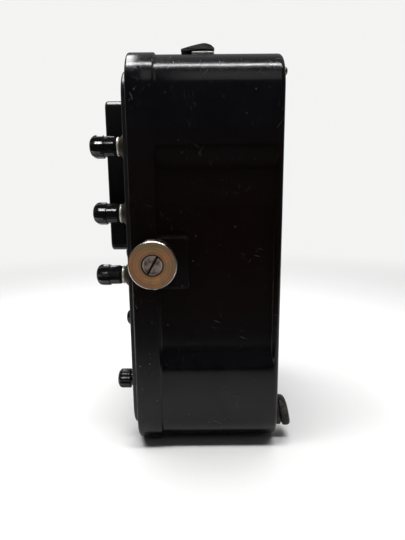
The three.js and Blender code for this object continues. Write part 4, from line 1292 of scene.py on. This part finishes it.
def make_strap_fittings():
    for name in ("right", "left"):
        low, high = node_box(f"strap_plate_{name}")
        end = box_piece(f"strap_end_{name}", low, high)
        bevel(end, 0.5, 4)
        dress(shade(end), nickel, "case", [f"strap_plate_{name}"])
        x, y, _ = node_middle(f"strap_plate_screw_{name}")
        radius, rise = 3.0, 1.1
        rim = node_box(f"strap_plate_screw_{name}")[1].z - rise
        rows = round_head(radius, 0, rise) + [(1.5, 0), (1.5, -11), (0, -11)]
        screw = slotted_screw(f"strap_end_screw_{name}", (x, y, rim), (0, 0, 1), radius, rows, 0.8, 0.5,
                              math.radians(30), rise)
        dress(screw, screw_nickel, "case", [f"strap_plate_screw_{name}"])


make_strap_fittings()

# ---- Feet, back screws and battery cover ----

# Share of the foot's reach, and share of its full outline there
FOOT_ROWS = [(0.0, 0.88), (0.08, 0.93), (0.26, 0.95), (0.31, 0.87), (0.35, 0.8), (0.39, 0.87), (0.44, 0.98),
             (0.6, 1.0), (0.8, 0.97), (0.92, 0.88), (0.985, 0.72), (1.0, 0.5)]


def make_foot(name):
    """Moulded rubber wedge with a groove round it."""
    low, high = node_box(f"rubber_foot_{name}")
    x, _, z = node_middle(f"rubber_foot_{name}")
    half_x, half_z = (high.x - low.x) / 2, (high.z - low.z) / 2
    rings = []
    for share, grow in FOOT_ROWS:
        ring = []
        for i in range(64):
            angle = 2 * math.pi * i / 64
            c, s = math.cos(angle), math.sin(angle)
            px = half_x * grow * math.copysign(abs(c) ** 0.62, c)
            pz = half_z * grow * math.copysign(abs(s) ** 0.62, s)
            reach = 7.9 - 1.6 * pz / half_z - 0.5 * max(0, -pz / half_z - 0.75) * 4
            leaning = share - 0.45 * share * (1 - share) * pz / half_z
            ring.append((x + px, CASE_BACK + 0.3 + leaning * reach, z + pz))
        rings.append(ring)
    foot = loft(f"foot_wedge_{name}", rings)
    dress(shade(foot, 60), rubber, "case", [f"rubber_foot_{name}"])


def make_back_screw(name):
    x, _, z = node_middle(f"back_screw_{name}")
    radius, rim, rise = 1.9, 1.0, 0.95
    rows = round_head(radius, rim, rise) + [(radius, 0.3), (1.3, 0.3), (1.3, -9), (0, -9)]
    screw = slotted_screw(f"back_stud_{name}", (x, CASE_BACK, z), BACKWARD, radius, rows, 0.5, 0.5, 0.4,
                          rim + rise)
    dress(screw, olive_brass, "case", [f"back_screw_{name}"])


for side_name in ("right", "left"):
    make_foot(side_name)
    make_back_screw(side_name)

RIB_COUNT, RIB_LOWEST, RIB_PITCH = 5, 33.8, 1.3


def make_battery_cover():
    """Flush lid with a row of grip ribs."""
    low, high = node_box("battery_cover")
    lid = box_piece("battery_lid", (low.x, low.y, low.z), (high.x, CASE_BACK - 0.05, high.z))
    bevel(lid, 0.4, 3)
    ribs = []
    for i in range(RIB_COUNT):
        z = RIB_LOWEST + RIB_PITCH * i
        rib = box_piece("rib", (-8, CASE_BACK - 0.5, z - 0.35), (8, high.y - 0.2, z + 0.35))
        ribs.append(bevel(rib, 0.25, 2))
    return shade(boolean(lid, ribs, "UNION"))


dress(make_battery_cover(), bakelite, "battery_cover", ["battery_cover"])
